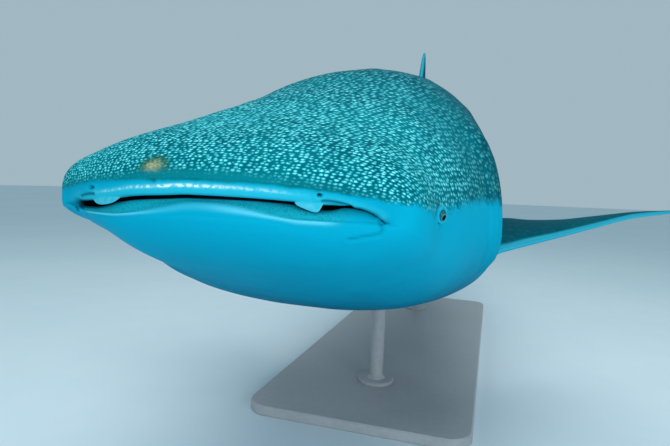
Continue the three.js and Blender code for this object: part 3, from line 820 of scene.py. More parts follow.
# %% [markdown]
# ## One skin
# The fins and flaps are joined to the body with a boolean, and then the skin is relaxed along each
# join. That turns the sharp line where two surfaces cross into a soft hollow, like the real flesh at
# the root of a fin.

# %% Join the fins to the body
def applied_mesh(piece):
    """A new mesh with what the piece's modifiers do, which are then taken off."""
    graph = bpy.context.evaluated_depsgraph_get()
    made = bpy.data.meshes.new_from_object(piece.evaluated_get(graph))
    piece.modifiers.clear()
    return made


def join_to_skin(parts):
    """Union of the skin with each part, in place."""
    for part in parts:
        cut = skin.modifiers.new("join", "BOOLEAN")
        cut.operation = "UNION"
        cut.solver = "MANIFOLD"
        cut.object = part
    old = skin.data
    skin.data = applied_mesh(skin)
    bpy.data.meshes.remove(old)
    for part in parts:
        shape = part.data
        bpy.data.objects.remove(part)
        bpy.data.meshes.remove(shape)


def vertex_array(mesh):
    """All vertex places of a mesh as rows of numbers."""
    flat = np.empty(len(mesh.vertices) * 3, dtype=np.float32)
    mesh.vertices.foreach_get("co", flat)
    return flat.reshape(-1, 3).astype(float)


def place_keys(points):
    """Places rounded to a hundredth of a millimetre, for matching."""
    return [tuple(row) for row in np.round(points * 1e5).astype(np.int64)]


parts = [*fin_pieces.values(), *flap_pieces, *lid_pieces]
known = set()
for part in (skin, *parts):
    known.update(place_keys(vertex_array(part.data)))
join_to_skin(parts)
joined_points = vertex_array(skin.data)
new_points = np.array([key not in known for key in place_keys(joined_points)])
print(len(joined_points), "points in the joined skin,", int(new_points.sum()), "of them on joins")

# %% Distance from the joins
JOIN_MARGIN = 0.12    # points further than this from all joins aren't measured, in metres


def point_tree(points):
    """Search tree that finds the nearest of many points."""
    tree = KDTree(len(points))
    for i, p in enumerate(points):
        tree.insert(p, i)
    tree.balance()
    return tree


def join_distance():
    """Distance of each point of the skin to the nearest join, in metres."""
    seeds = joined_points[new_points]
    tree = point_tree(seeds)
    low, high = seeds.min(axis=0) - JOIN_MARGIN, seeds.max(axis=0) + JOIN_MARGIN
    close = np.all((joined_points > low) & (joined_points < high), axis=1)
    distance = np.full(len(joined_points), FAR_AWAY)
    for i in np.nonzero(close)[0]:
        distance[i] = tree.find(joined_points[i])[2]
    return distance


near_join = join_distance()
print("points measured from a join:", int((near_join < FAR_AWAY).sum()))

# %% Relax the skin along the joins
RELAX_LEVELS = 8


def relax(reach, rounds, wanted):
    """Pull points near a join towards the mean of their neighbours, more the nearer they are."""
    group = skin.vertex_groups.new(name="relax")
    weight = (1 - smooth(0.15 * reach, reach, near_join)) * wanted
    for level in range(1, RELAX_LEVELS + 1):
        above_last = weight > (level - 0.5) / RELAX_LEVELS
        chosen = np.nonzero(above_last & (weight <= (level + 0.5) / RELAX_LEVELS))[0]
        group.add(chosen.tolist(), level / RELAX_LEVELS, "REPLACE")
    ease = skin.modifiers.new("relax", "SMOOTH")
    ease.vertex_group = group.name
    ease.factor = 0.5
    ease.iterations = rounds
    eased = applied_mesh(skin)
    skin.vertex_groups.clear()
    skin.data = eased


face_side = joined_points[:, 1] < -TOTAL / 2 + 0.6
relax(0.075, 60, ~face_side)
relax(0.014, 14, face_side)
skin.data.shade_smooth()
print("skin relaxed along the joins")

# %% [markdown]
# ## Marks for the paint
# The paint needs to know where it is on the animal. Each point of the skin gets a few numbers: a flat
# map of the body for the spots, how far it is towards the pale belly, where spots may show, and
# where the lips and the inside of the mouth are. They come from the grid that the skin was made
# from. A point of the body is found again there exactly, and a point of a fin gets its own map.

# %% Look up the grid point behind each skin point
def grid_lookup():
    """Nearest grid point for each point of the joined skin, and how far off it is."""
    tree = point_tree(to_frame(shaped).reshape(-1, 3))
    found = np.empty(len(joined_points), dtype=np.int64)
    gap = np.empty(len(joined_points))
    for i, p in enumerate(joined_points):
        _, found[i], gap[i] = tree.find(p)
    return found, gap


grid_at, off_body = grid_lookup()
row_of, column_of = grid_at // len(columns), grid_at % len(columns)
on_fin = off_body > 1e-4
print("points on fins and flaps:", int(on_fin.sum()))

# %% Places of the skin points in the shark's own measures
# t is the station behind the snout, x the distance to the left and z the height over the mouth line
t = joined_points[:, 1] + TOTAL / 2
x = joined_points[:, 0] - swing(t)
z = joined_points[:, 2] - MOUTH_LINE
ring = ring_index[row_of]
angle = column_side[column_of]
facing = np.empty(len(joined_points) * 3, dtype=np.float32)
skin.data.vertices.foreach_get("normal", facing)
facing = facing.reshape(-1, 3)
fin_points = on_fin & (t > 0.6)
flap_points = on_fin & (t < 0.3)
lid_points = on_fin & (t > 0.3) & (t < 0.6)
flat_fin = fin_points & (np.abs(x) > 0.12) & (t < 5)
print("flat fins:", int(flat_fin.sum()), "points, nasal flaps:", int(flap_points.sum()))

# %% [markdown]
# ## Map for the spots
# The spots are small and long on the snout and grow towards the tail. If the paint counted in metres
# they would all be one size, so each point of the skin gets two counts: how many spots lie between
# it and the lip, and how many between it and the ridge of the back.

# %% Flat map of the body for the spots
# length behind the lip in metres, width of a spot in metres, its length as a share of its width
SPOT_WIDTHS = [(0, 0.0132), (0.3, 0.0155), (0.8, 0.0205), (1.5, 0.029), (2.5, 0.043), (3.5, 0.055),
               (7, 0.050)]
SPOT_STRETCH = [(0, 0.62), (0.1, 0.75), (0.25, 1.15), (0.5, 1.5), (1.2, 1.5), (2.2, 1.25), (7, 1.2)]
FIN_SPOT_LENGTH, FIN_SPOT_WIDTH = 0.060, 0.042    # in metres
FIN_SPOT_START = 31.0    # keeps the spots of the fins apart from those of the body


def spot_map():
    """Coordinates counted in spots: along the body and round it from the ridge of the back."""
    along = np.linalg.norm(np.diff(skin_grid, axis=0), axis=2)
    lip_row = int(np.searchsorted(ring_index, 5.0))
    length = np.concatenate([np.zeros((1, len(columns))), np.cumsum(along, axis=0)])
    length -= length[lip_row]
    around = np.linalg.norm(np.roll(skin_grid, -1, axis=1) - skin_grid, axis=2)
    arc = np.concatenate([np.zeros((len(ring_at), 1)), np.cumsum(around, axis=1)[:, :-1]], axis=1)
    top = int(np.argmin(np.abs(columns - 90)))
    arc -= arc[:, top : top + 1]
    width, stretch = (np.interp(length, *zip(*rows)) for rows in (SPOT_WIDTHS, SPOT_STRETCH))
    step = np.diff(length, axis=0, prepend=length[:1]) / (width * stretch)
    counted = np.cumsum(step, axis=0)
    counted -= counted[lip_row]
    return counted[row_of, column_of], (arc / width)[row_of, column_of]


spot_u, spot_v = spot_map()
spot_u = np.where(fin_points, t / FIN_SPOT_LENGTH, spot_u)
fin_across = np.where(flat_fin, np.abs(x), z)
spot_v = np.where(fin_points, fin_across / FIN_SPOT_WIDTH + FIN_SPOT_START, spot_v)
print("about", int(spot_u.max()), "spots from lip to tail")

# %% [markdown]
# ## Pale belly
# A shark is dark above and pale below. The border runs back from the corner of the mouth past the
# eye and then sinks along the flank. It follows a curve of height over length, with a soft edge that
# gets wider behind the head.

# %% Pale underside
# station in metres, height of the border over the mouth line in metres
PALE_BORDER = [(0, 0.083), (0.06, 0.073), (0.1, 0.063), (0.165, 0.046), (0.25, 0.034), (0.39, 0.024),
               (0.66, 0.038), (1.0, 0.048), (1.45, 0.03), (2.2, -0.12), (3.5, -0.20), (5.0, -0.10),
               (6.2, 0.03), (8.0, 0.05)]


def pale_mask():
    """1 on the pale underside, 0 on the dark back."""
    edge = curve_of(PALE_BORDER, t)
    edge = edge + 0.014 * np.sin(t * 9) * np.cos(t * 23) * smooth(0.8, 1.4, t)
    soft = 0.013 + 0.045 * smooth(0.10, 0.30, t) + 0.03 * smooth(0.5, 1.8, t)
    pale = 1 - smooth(edge - soft, edge + soft, z)
    under = 1 - smooth(-0.25, 0.2, facing[:, 2])
    return np.where(flat_fin, under, np.where(fin_points, 0.0, pale))


pale = pale_mask()
print("pale share of the skin", round(float(pale.mean()), 2))

# %% [markdown]
# ## Lips and mouth
# The lips have zones: a pale roll above with a painted highlight along it, a shadow over it, a
# speckled band below with painted shade along the slit and a painted highlight on its crest, and
# the inside of the mouth, painted nearly black as shade. Each zone follows the rings of the skin,
# so its mask is a soft step or a hump over the number of the ring.

# %% Masks for the lips and the mouth
def share(condition):
    """A yes or no as 1 or 0."""
    return np.where(condition, 1.0, 0.0)


face_only = share((t < 0.4) & ~fin_points)
above, below = share(angle > 0) * face_only, share(angle < 0) * face_only
middle_lip = 0.75 * hump(x, 0.01, 0.12) + 0.25 * (1 - smooth(0.2, 0.3, np.abs(x)))
upper_lip = above * (1 - smooth(4.7, 5.6, ring)) * smooth(2.6, 3.3, ring) * smooth(3, 16, angle)
# painted highlight: a thin streak of near-white along the roll of the upper lip
painted_lip_highlight = above * middle_lip * hump(ring, 4.93, 0.14)
lip_shadow = above * smooth(5.2, 5.8, ring) * (1 - smooth(5.9, 6.8, ring)) * (1 - pale)
lip_shadow *= 1 - 0.6 * smooth(0.15, 0.35, x)
# painted shade: the inside of the mouth is painted nearly black
inside = 1 - smooth(2.3, 3.1, ring)
crest = curve_of(CREST, x)
lower_band = below * (1 - smooth(crest - 0.45, crest + 0.05, ring)) * smooth(2.9, 3.3, ring)
slit_shade = below * (1 - smooth(3.3, 5.0, ring)) * smooth(2.8, 3.1, ring)
slit_shade *= 0.2 + 0.8 * smooth(0.1, 0.3, np.abs(x))
lower_band *= np.where(x < 0, 1 - smooth(0.35, 0.385, -x), 1 - smooth(0.33, 0.40, x))
# painted highlight along the crest of the lower lip
painted_crest_highlight = below * hump(ring - crest, 0.12, 0.3) * (1 - smooth(0.32, 0.37, np.abs(x)))
painted_crest_highlight *= 0.35 + 0.65 * smooth(0.03, 0.16, np.abs(x))
for mask in (painted_lip_highlight, inside, lower_band, painted_crest_highlight, slit_shade):
    mask[on_fin] = 0
upper_lip[flap_points], upper_lip[lid_points] = 1.0, 0.5
# and a faint painted highlight on the nasal flaps
painted_lip_highlight[flap_points] = 0.06
print("points on the upper lip:", int((upper_lip > 0.5).sum()))

# %% Where spots may show
spots_show = smooth(5.4, 6.4, ring) * smooth(0.012, 0.03, near_join) * (1 - pale)
spots_show = np.where(fin_points, smooth(0.012, 0.05, near_join) * (1 - pale), spots_show)
spots_show *= 1 - 0.42 * smooth(0.6, 1.1, t) * (1 - smooth(2.2, 3.2, t)) * (1 - smooth(50, 75, angle))
spots_show[flap_points] = 0
print("spots show on", round(100 * float((spots_show > 0.5).mean())), "% of the points")

# %% [markdown]
# ## Openings, creases and a grazed patch
# The pits and folds are dark because little light gets in. Their masks reuse the distances that
# shaped them, so colour and form agree. The patch on the snout, where the skin is rubbed to a tan,
# and one small dark dot beside it are only colour, so they are drawn as ovals on the skin.

# %% Dark openings, creases and the grazed patch
def soft_dot(place, radius):
    """1 at a place on the skin, fading out over its radius."""
    return hump(np.linalg.norm(np.stack([x, t, z], axis=1) - place, axis=1), 0, radius)


opening_grid = (1 - smooth(0.004, 0.0105, nostril_near)) + (1 - smooth(0.005, 0.0145, hole_near))
crease_grid = 0.45 * hump(fold_left, 0, 0.0024) + hump(fold_right, 0, 0.0040)
crease_grid = crease_grid + hump(groove_near, 0, 0.0030)
opening = np.where(on_fin, 0.0, np.clip(opening_grid[row_of, column_of], 0, 1))
opening = np.maximum(opening, soft_dot((-0.067, 0.003, 0.081), 0.0042))
crease = np.where(on_fin, 0.0, np.clip(crease_grid[row_of, column_of], 0, 1))
grazed = 1.3 - np.hypot((x + 0.082) / 0.050, (z - 0.1125) / 0.030)
grazed = np.maximum(grazed, 0.55 - 0.4 * np.hypot((x + 0.012) / 0.060, (z - 0.1010) / 0.0110))
grazed = np.where((t < 0.2) & ~on_fin, np.clip(grazed, 0, 1), 0.0)
print("grazed patch covers", int((grazed > 0.5).sum()), "points")

# %% Distance from the leading and trailing edges of the fins
def fin_edges():
    """1 at the leading edge of a fin, and 1 at its trailing edge."""
    lead, trail = np.zeros(len(t)), np.zeros(len(t))
    for front, back, _ in fins.values():
        front, back = (np.array(edge, dtype=float) / [1, 1000, 1000, 1000] for edge in (front, back))
        upright = abs(front[-1, 1]) < 0.1
        here = z if upright else np.abs(x)
        reach, back_reach = (edge[:, 3] if upright else np.abs(edge[:, 1]) for edge in (front, back))
        order = np.argsort(reach)
        back_order = np.argsort(back_reach)
        start = np.interp(here, reach[order], front[order, 2])
        end = np.interp(here, back_reach[back_order], back[back_order, 2])
        low, high = min(reach[0], reach[-1]), max(reach[0], reach[-1])
        mine = fin_points & (here > low - 0.02) & (here < high + 0.02)
        mine &= (t > start - 0.1) & (t < end + 0.1) & (flat_fin if not upright else ~flat_fin)
        lead = np.where(mine, np.maximum(lead, 1 - smooth(0.004, 0.026, t - start)), lead)
        trail = np.where(mine, np.maximum(trail, 1 - smooth(0.005, 0.05, end - t)), trail)
    return lead, trail


fin_lead, fin_trail = fin_edges()
print("points on a leading edge:", int((fin_lead > 0.5).sum()))

# %% Write the marks on the skin
marks = {
    "spot_u": spot_u, "spot_v": spot_v, "spots_show": spots_show, "pale": pale,
    "upper_lip": upper_lip, "painted_lip_highlight": painted_lip_highlight, "lip_shadow": lip_shadow, "inside": inside,
    "lower_band": lower_band, "fin": share(fin_points), "fin_lead": fin_lead,
    "fin_trail": fin_trail, "painted_crest_highlight": painted_crest_highlight, "opening": opening, "crease": crease,
    "grazed": grazed, "slit_shade": slit_shade,
}
for mark_name, values in marks.items():
    mark = skin.data.attributes.new(mark_name, "FLOAT", "POINT")
    mark.data.foreach_set("value", np.asarray(values, dtype=np.float32))
print("marks on the skin:", ", ".join(marks))

# %% [markdown]
# ## A small kit for shader nodes
# Materials are built from nodes. These helpers add one node with its settings and links, do sums,
# turn a value into a soft mask, and mix two colours, so each material below reads like a recipe.

# %% Helpers for shader nodes
def wire(tree, kind, inputs=None, **settings):
    """A new node with its settings; inputs are values or sockets to link."""
    made = tree.nodes.new(kind)
    for key, value in settings.items():
        setattr(made, key, value)
    for key, value in (inputs or {}).items():
        if isinstance(value, bpy.types.NodeSocket):
            tree.links.new(value, made.inputs[key])
        else:
            made.inputs[key].default_value = value
    return made


def sums(tree, operation, a, b):
    """A Math node's result."""
    return wire(tree, "ShaderNodeMath", {0: a, 1: b}, operation=operation).outputs[0]


def plus(tree, a, b):
    """Sum of two values."""
    return sums(tree, "ADD", a, b)


def minus(tree, a, b):
    """First value less the second."""
    return sums(tree, "SUBTRACT", a, b)


def times(tree, a, b):
    """Product of two values."""
    return sums(tree, "MULTIPLY", a, b)


print("node and sum helpers ready")

# %% Helpers for masks, colours and noise
def soft_mask(tree, value, low, high):
    """0 below low, 1 above high, with a soft step between."""
    made = wire(tree, "ShaderNodeMapRange", {"Value": value, "From Min": low, "From Max": high},
                interpolation_type="SMOOTHSTEP")
    return made.outputs["Result"]


def tint(tree, amount, a, b):
    """Colour a turning into colour b."""
    made = wire(tree, "ShaderNodeMix", {0: amount, 6: a, 7: b}, data_type="RGBA")
    return made.outputs[2]


def mark_value(tree, mark_name):
    """A mark of the skin as a socket."""
    return wire(tree, "ShaderNodeAttribute", attribute_name=mark_name).outputs["Fac"]


def surface_place(tree):
    """Place on the object, in metres."""
    return wire(tree, "ShaderNodeTexCoord").outputs["Object"]


def blotches(tree, place, scale, detail=3.0, roughness=0.55):
    """Cloudy noise from 0 to 1."""
    made = wire(tree, "ShaderNodeTexNoise",
                {"Vector": place, "Scale": scale, "Detail": detail, "Roughness": roughness})
    return made.outputs["Fac"]


def rgb(red, green, blue):
    """Paint colour given as it looks, 0 to 255, turned into the light values of the shader."""
    parts = [v / 255 for v in (red, green, blue)]
    return tuple(v / 12.92 if v <= 0.04045 else ((v + 0.055) / 1.055) ** 2.4 for v in parts) + (1.0,)


print("mask and colour helpers ready")

# %% [markdown]
# ## Shared effects
# Two effects are used by more than one material, so each is a node group. One is a fine grain, which
# feeds a bump. The other is slow mottling, which keeps any large area from looking like one flat
# colour.

# %% Node groups for grain and mottling
def effect_group(name, inputs, outputs):
    """An empty node group with float inputs and outputs."""
    group = bpy.data.node_groups.new(name, "ShaderNodeTree")
    for label, value in inputs.items():
        socket = group.interface.new_socket(label, in_out="INPUT", socket_type="NodeSocketFloat")
        socket.default_value = value
    for label in outputs:
        group.interface.new_socket(label, in_out="OUTPUT", socket_type="NodeSocketFloat")
    return group, group.nodes.new("NodeGroupInput"), group.nodes.new("NodeGroupOutput")


def make_grain():
    """Fine grain with a few larger pores."""
    group, given, result = effect_group(
        "surface_grain", {"Grain Scale": 400.0, "Pore Scale": 90.0}, ["Height"])
    place = surface_place(group)
    fine = blotches(group, place, given.outputs["Grain Scale"], 2.0)
    pores = wire(group, "ShaderNodeTexVoronoi", {"Vector": place, "Scale": given.outputs["Pore Scale"]})
    pores = soft_mask(group, pores.outputs["Distance"], 0.0, 0.35)
    total = plus(group, times(group, fine, 0.6), times(group, pores, 0.4))
    group.links.new(total, result.inputs["Height"])
    return group


def make_mottling():
    """Cloudy variation at two sizes, from 0 to 1."""
    group, given, result = effect_group(
        "slow_mottling", {"Large Scale": 3.0, "Small Scale": 18.0}, ["Mottling"])
    place = surface_place(group)
    large = blotches(group, place, given.outputs["Large Scale"], 3.0)
    small = blotches(group, place, given.outputs["Small Scale"], 4.0, 0.6)
    total = plus(group, times(group, large, 0.6), times(group, small, 0.4))
    group.links.new(soft_mask(group, total, 0.33, 0.67), result.inputs["Mottling"])
    return group


grain_group, mottling_group = make_grain(), make_mottling()
print("node groups:", grain_group.name, "and", mottling_group.name)

# %% [markdown]
# ## The spots
# Painting thousands of spots by hand would take days. A cell pattern scatters them instead, and a
# dark net keeps neighbours apart. Each cell carries its own random colour, which gives every spot
# its own size and tone. Only the skin has spots, but as a group the recipe is easier to read.

# %% Spots as a node group
def make_spots():
    """Pale rounded spots in a dark net, with a bright core and uneven tone."""
    group, given, result = effect_group(
        "body_spots", {"Along": 0.0, "Around": 0.0, "Size": 0.4, "Net": 0.07}, ["Mask", "Core", "Tone"])
    flat = wire(group, "ShaderNodeCombineXYZ",
                {"X": given.outputs["Along"], "Y": given.outputs["Around"]}).outputs[0]
    wander = wire(group, "ShaderNodeTexNoise", {"Vector": flat, "Scale": 1.7, "Detail": 2.0})
    moved = wander.outputs["Color"]
    for operation, by in (("SUBTRACT", (0.5, 0.5, 0.5)), ("MULTIPLY", (0.5, 0.5, 0.0)), ("ADD", flat)):
        moved = wire(group, "ShaderNodeVectorMath", {0: moved, 1: by}, operation=operation).outputs[0]
    shared = {"Vector": moved, "Scale": 1.0, "Randomness": 0.66}
    cells = wire(group, "ShaderNodeTexVoronoi", shared, voronoi_dimensions="2D")
    net = wire(group, "ShaderNodeTexVoronoi", shared, voronoi_dimensions="2D", feature="DISTANCE_TO_EDGE")
    chance = wire(group, "ShaderNodeSeparateColor", {0: cells.outputs["Color"]})
    uneven_size = times(group, minus(group, chance.outputs[0], 0.5), 0.2)
    size = plus(group, given.outputs["Size"], uneven_size)
    in_cell = minus(group, size, cells.outputs["Distance"])
    in_net = times(group, minus(group, net.outputs["Distance"], given.outputs["Net"]), 1.7)
    inner = sums(group, "MINIMUM", in_cell, in_net)
    group.links.new(soft_mask(group, inner, -0.15, 0.17), result.inputs["Mask"])
    group.links.new(soft_mask(group, inner, 0.04, 0.34), result.inputs["Core"])
    group.links.new(chance.outputs[1], result.inputs["Tone"])
    return group


spots_group = make_spots()
print("node group:", spots_group.name)

# %% [markdown]
# ## The skin paint
# In the photograph the back is a deep blue-green with a close net of pale spots, and the belly is a
# clear light blue. The lips are paler still. The skin hardly shines in the photograph, so the gloss is
# very weak, with small changes in roughness. A fine grain stands for the tiny scales of the skin.
# One picture could hold all of this, but coats laid one over the other stay sharp at any size.

# %% Helpers that the materials share
def group_node(tree, group, inputs):
    """A node group placed in a material."""
    return wire(tree, "ShaderNodeGroup", inputs, node_tree=group)


def mottled(tree, large, small):
    """Slow mottling at two scales, from 0 to 1."""
    made = group_node(tree, mottling_group, {"Large Scale": large, "Small Scale": small})
    return made.outputs["Mottling"]


def add_grain(tree, shader, grain_scale, pore_scale, strength, height):
    """Fine grain as a bump on the shader of a material."""
    grain = group_node(tree, grain_group, {"Grain Scale": grain_scale, "Pore Scale": pore_scale})
    bump = wire(tree, "ShaderNodeBump",
                {"Height": grain.outputs["Height"], "Strength": strength, "Distance": height})
    tree.links.new(bump.outputs["Normal"], shader.inputs["Normal"])


def paint_mark(tree, colour, mark_name, over, strength=1.0):
    """A coat of a second colour where a mark of the skin asks for it."""
    amount = mark_value(tree, mark_name)
    if strength < 1.0:
        amount = times(tree, amount, strength)
    return tint(tree, amount, colour, over)


def new_material(name):
    """An empty material with a Principled shader."""
    material = bpy.data.materials.new(name)
    material.use_nodes = True
    tree = material.node_tree
    return material, tree, tree.nodes["Principled BSDF"]


print("material helpers ready")

# %% Colours of the back with its spots
SPOT_SIZE, SPOT_NET = 0.37, 0.075
# The third back colour is painted shade for the back further from the snout.
BACK_DARK, BACK_LIGHT, BACK_REAR_SHADE = rgb(2, 86, 98), rgb(5, 124, 134), rgb(2, 66, 82)
SPOT_DIM, SPOT_BRIGHT, SPOT_CORE = rgb(14, 156, 170), rgb(44, 196, 208), rgb(140, 236, 242)


def back_colour(tree, mottling):
    """Dark back with its spots, and painted shade that darkens it further back."""
    ground = tint(tree, mottling, BACK_DARK, BACK_LIGHT)
    spots = group_node(tree, spots_group, {
        "Along": mark_value(tree, "spot_u"), "Around": mark_value(tree, "spot_v"),
        "Size": SPOT_SIZE, "Net": SPOT_NET})
    pale_spot = tint(tree, spots.outputs["Tone"], SPOT_DIM, SPOT_BRIGHT)
    core = times(tree, spots.outputs["Core"], plus(tree, 0.35, spots.outputs["Tone"]))
    pale_spot = tint(tree, core, pale_spot, SPOT_CORE)
    show = times(tree, spots.outputs["Mask"], mark_value(tree, "spots_show"))
    weaker = minus(tree, 1.0, times(tree, mark_value(tree, "fin"), 0.86))
    colour = tint(tree, times(tree, show, weaker), ground, pale_spot)
    # painted shade: from the head back, the colour darkens towards the tail
    length = wire(tree, "ShaderNodeSeparateXYZ", {0: surface_place(tree)}).outputs[1]
    rear = soft_mask(tree, length, -3.7, -2.0)
    return tint(tree, times(tree, rear, 0.78), colour, BACK_REAR_SHADE)


print("spots", SPOT_SIZE, "of a cell in size, with a net of", SPOT_NET)

# %% Colours of the belly and the lips
# The lower belly colour is painted shade.
BELLY_FRONT, BELLY_LOW_SHADE = rgb(5, 164, 197), rgb(2, 74, 106)
# The second lip colour is the near-white of a painted highlight on the upper lip.
LIP, PAINTED_LIP_HIGHLIGHT, ABOVE_LIP = rgb(34, 182, 208), rgb(222, 252, 254), rgb(4, 126, 138)

# mark, strength and colour of the coats laid over the lips, in this order
# The coats of the slit, creases, pits and mouth are painted shade, bar one real dark dot among the
# openings; the crest coat is a painted highlight.
MOUTH_COATS = [
    ("slit_shade", 0.8, rgb(2, 66, 80)),
    ("painted_crest_highlight", 0.6, rgb(110, 222, 244)),
    ("crease", 0.75, rgb(2, 60, 84)),
    ("opening", 1.0, rgb(2, 26, 36)),
    ("inside", 1.0, rgb(2, 12, 18)),
]


def belly_colour(tree, place, mottling):
    """Clear light blue below, with painted shade that deepens it lower down on the belly."""
    height = wire(tree, "ShaderNodeSeparateXYZ", {0: place}).outputs[2]
    # painted shade: the lower the point, the deeper the blue
    depth = soft_mask(tree, plus(tree, height, times(tree, mottling, 0.06)), 0.72, 1.27)
    return tint(tree, depth, BELLY_LOW_SHADE, BELLY_FRONT)


def lip_colours(tree, place, colour):
    """Lips, painted highlights, speckled band, and painted shade in the slit, creases, pits and mouth."""
    colour = paint_mark(tree, colour, "lip_shadow", ABOVE_LIP)
    colour = paint_mark(tree, colour, "upper_lip", LIP)
    # painted highlight: broken streaks of near-white along the upper lip
    streaks = soft_mask(tree, blotches(tree, place, 80.0, 3.0), 0.4, 0.58)
    glint = times(tree, mark_value(tree, "painted_lip_highlight"), plus(tree, 0.3, streaks))
    colour = tint(tree, glint, colour, PAINTED_LIP_HIGHLIGHT)
    colour = paint_mark(tree, colour, "lower_band", rgb(26, 174, 190), 0.7)
    speck = wire(tree, "ShaderNodeTexVoronoi", {"Vector": place, "Scale": 300.0})
    speck = minus(tree, 1.0, soft_mask(tree, speck.outputs["Distance"], 0.2, 0.5))
    speck = times(tree, speck, soft_mask(tree, blotches(tree, place, 60.0, 3.0), 0.25, 0.55))
    speck = times(tree, speck, mark_value(tree, "lower_band"))
    colour = tint(tree, times(tree, speck, 0.65), colour, rgb(2, 92, 102))
    for mark_name, strength, over in MOUTH_COATS:
        colour = paint_mark(tree, colour, mark_name, over, strength)
    return colour


print(len(MOUTH_COATS), "coats over the lips")

# %% The grazed patch and the whole skin
SKIN_GLOSS = 0.004    # Specular IOR Level; the usual value is 0.5


def grazed_colour(tree, place, colour):
    """A rubbed patch on the snout, tan with ragged edges."""
    grazed_here = mark_value(tree, "grazed")
    ragged = plus(tree, grazed_here, times(tree, blotches(tree, place, 90.0, 5.0), 0.9))
    patch = soft_mask(tree, ragged, 0.62, 0.98)
    middle = plus(tree, grazed_here, times(tree, blotches(tree, place, 150.0, 4.0), 1.1))
    tan = tint(tree, soft_mask(tree, middle, 1.12, 1.8), rgb(30, 96, 80), rgb(180, 176, 126))
    return tint(tree, times(tree, patch, 0.85), colour, tan)


def skin_material():
    """Paint of the whole skin."""
    material, tree, shader = new_material("shark_skin_paint")
    place = surface_place(tree)
    mottling = mottled(tree, 2.2, 14.0)
    colour = back_colour(tree, mottling)
    ragged = minus(tree, blotches(tree, place, 26.0, 5.0, 0.65), 0.5)
    pale_here = soft_mask(tree, plus(tree, mark_value(tree, "pale"), ragged), 0.2, 0.8)
    colour = tint(tree, pale_here, colour, belly_colour(tree, place, mottling))
    colour = paint_mark(tree, colour, "fin_lead", rgb(60, 196, 222), 0.5)
    colour = paint_mark(tree, colour, "fin_trail", rgb(30, 160, 180), 0.3)
    colour = lip_colours(tree, place, grazed_colour(tree, place, colour))
    tree.links.new(colour, shader.inputs["Base Color"])
    roughness = plus(tree, 0.38, times(tree, blotches(tree, place, 9.0, 5.0), 0.24))
    tree.links.new(roughness, shader.inputs["Roughness"])
    shader.inputs["Specular IOR Level"].default_value = SKIN_GLOSS
    add_grain(tree, shader, 420.0, 160.0, 0.25, 0.0012)
    return material


skin.data.materials.clear()
skin.data.materials.append(skin_material())
print("skin painted")

# %% [markdown]
# ## The eyes
# A whale shark's eye is small and round. Here it has a black pupil with a fine pale rim and a
# blue-green iris. It is turned on a lathe: a profile swept round the axis that points out of the
# head, with a low bulge in the middle. The colour changes with the distance from that axis.

# %% Eyes turned on a lathe
EYE_RINGS, EYE_SPOKES = 44, 64
EYE_LOOKS_DOWN = math.radians(17)
EYE_SINK = 0.0065    # how far the ball lies behind the centre of the lid, in metres


def eye_grid(side):
    """Rings of an eye from its pole outward and round its back."""
    turn_by = np.linspace(0, np.pi, EYE_RINGS)
    radius = EYE_RADIUS * (1 + 0.07 * hump(turn_by, 0, 0.5))
    spin = np.linspace(0, 2 * np.pi, EYE_SPOKES, endpoint=False)
    a, b = np.meshgrid(turn_by, spin, indexing="ij")
    r = radius[:, None]
    out, one, two = r * np.cos(a), r * np.sin(a) * np.cos(b), r * np.sin(a) * np.sin(b)
    ahead = out * math.cos(EYE_LOOKS_DOWN) + two * math.sin(EYE_LOOKS_DOWN)
    rise = two * math.cos(EYE_LOOKS_DOWN) - out * math.sin(EYE_LOOKS_DOWN)
    return around_eye(ahead - EYE_SINK, one, rise * 1.06, side)


def eye_material():
    """Blue-green iris, and a black pupil with a fine pale rim."""
    material, tree, shader = new_material("shark_eye")
    out = mark_value(tree, "from_pole")
    flecks = blotches(tree, surface_place(tree), 320.0, 4.0)
    iris = tint(tree, flecks, rgb(4, 62, 74), rgb(24, 118, 130))
    colour = tint(tree, soft_mask(tree, out, 0.32, 0.36), rgb(1, 6, 10), rgb(70, 160, 180))
    colour = tint(tree, soft_mask(tree, out, 0.38, 0.43), colour, iris)
    colour = tint(tree, soft_mask(tree, out, 1.0, 1.25), colour, rgb(20, 96, 110))
    tree.links.new(colour, shader.inputs["Base Color"])
    roughness = plus(tree, 0.08, times(tree, flecks, 0.08))
    tree.links.new(roughness, shader.inputs["Roughness"])
    shader.inputs["Specular IOR Level"].default_value = 0.1
    return material


eye_paint = eye_material()
eyes = {}
for eye_name, side in (("left", 1), ("right", -1)):
    eye = shark_piece(f"eyeball_{eye_name}", eye_grid(side))
    from_pole = np.repeat(np.linspace(0, np.pi, EYE_RINGS), EYE_SPOKES)
    from_pole = np.append(from_pole, [0.0, np.pi]).astype(np.float32)
    eye.data.attributes.new("from_pole", "FLOAT", "POINT").data.foreach_set("value", from_pole)
    eye.data.materials.append(eye_paint)
    eyes[eye_name] = eye
print("two eyes, each", round(2 * EYE_RADIUS * 1000), "mm across")

# %% [markdown]
# ## The stand
# The stand keeps the shapes of the solid model: a heavy base plate, and two rods with a flange below
# and a shaped pad above. It gets a satin paint, with the light orange peel of sprayed metal. Only the
# paint is new, so the metal keeps its exact size.

# %% Stand paint
def stand_material():
    """Satin grey paint with a fine sprayed texture."""
    material, tree, shader = new_material("stand_satin_paint")
    mottling = mottled(tree, 1.5, 30.0)
    grey = tint(tree, mottling, rgb(150, 156, 160), rgb(164, 170, 174))
    tree.links.new(grey, shader.inputs["Base Color"])
    tree.links.new(plus(tree, 0.38, times(tree, mottling, 0.14)), shader.inputs["Roughness"])
    add_grain(tree, shader, 260.0, 120.0, 0.2, 0.0006)
    return material


stand_paint = stand_material()
for node_name, node_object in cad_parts.items():
    if node_name.startswith("stand_"):
        for paint_slot in node_object.material_slots:
            paint_slot.material = stand_paint
print("stand painted")

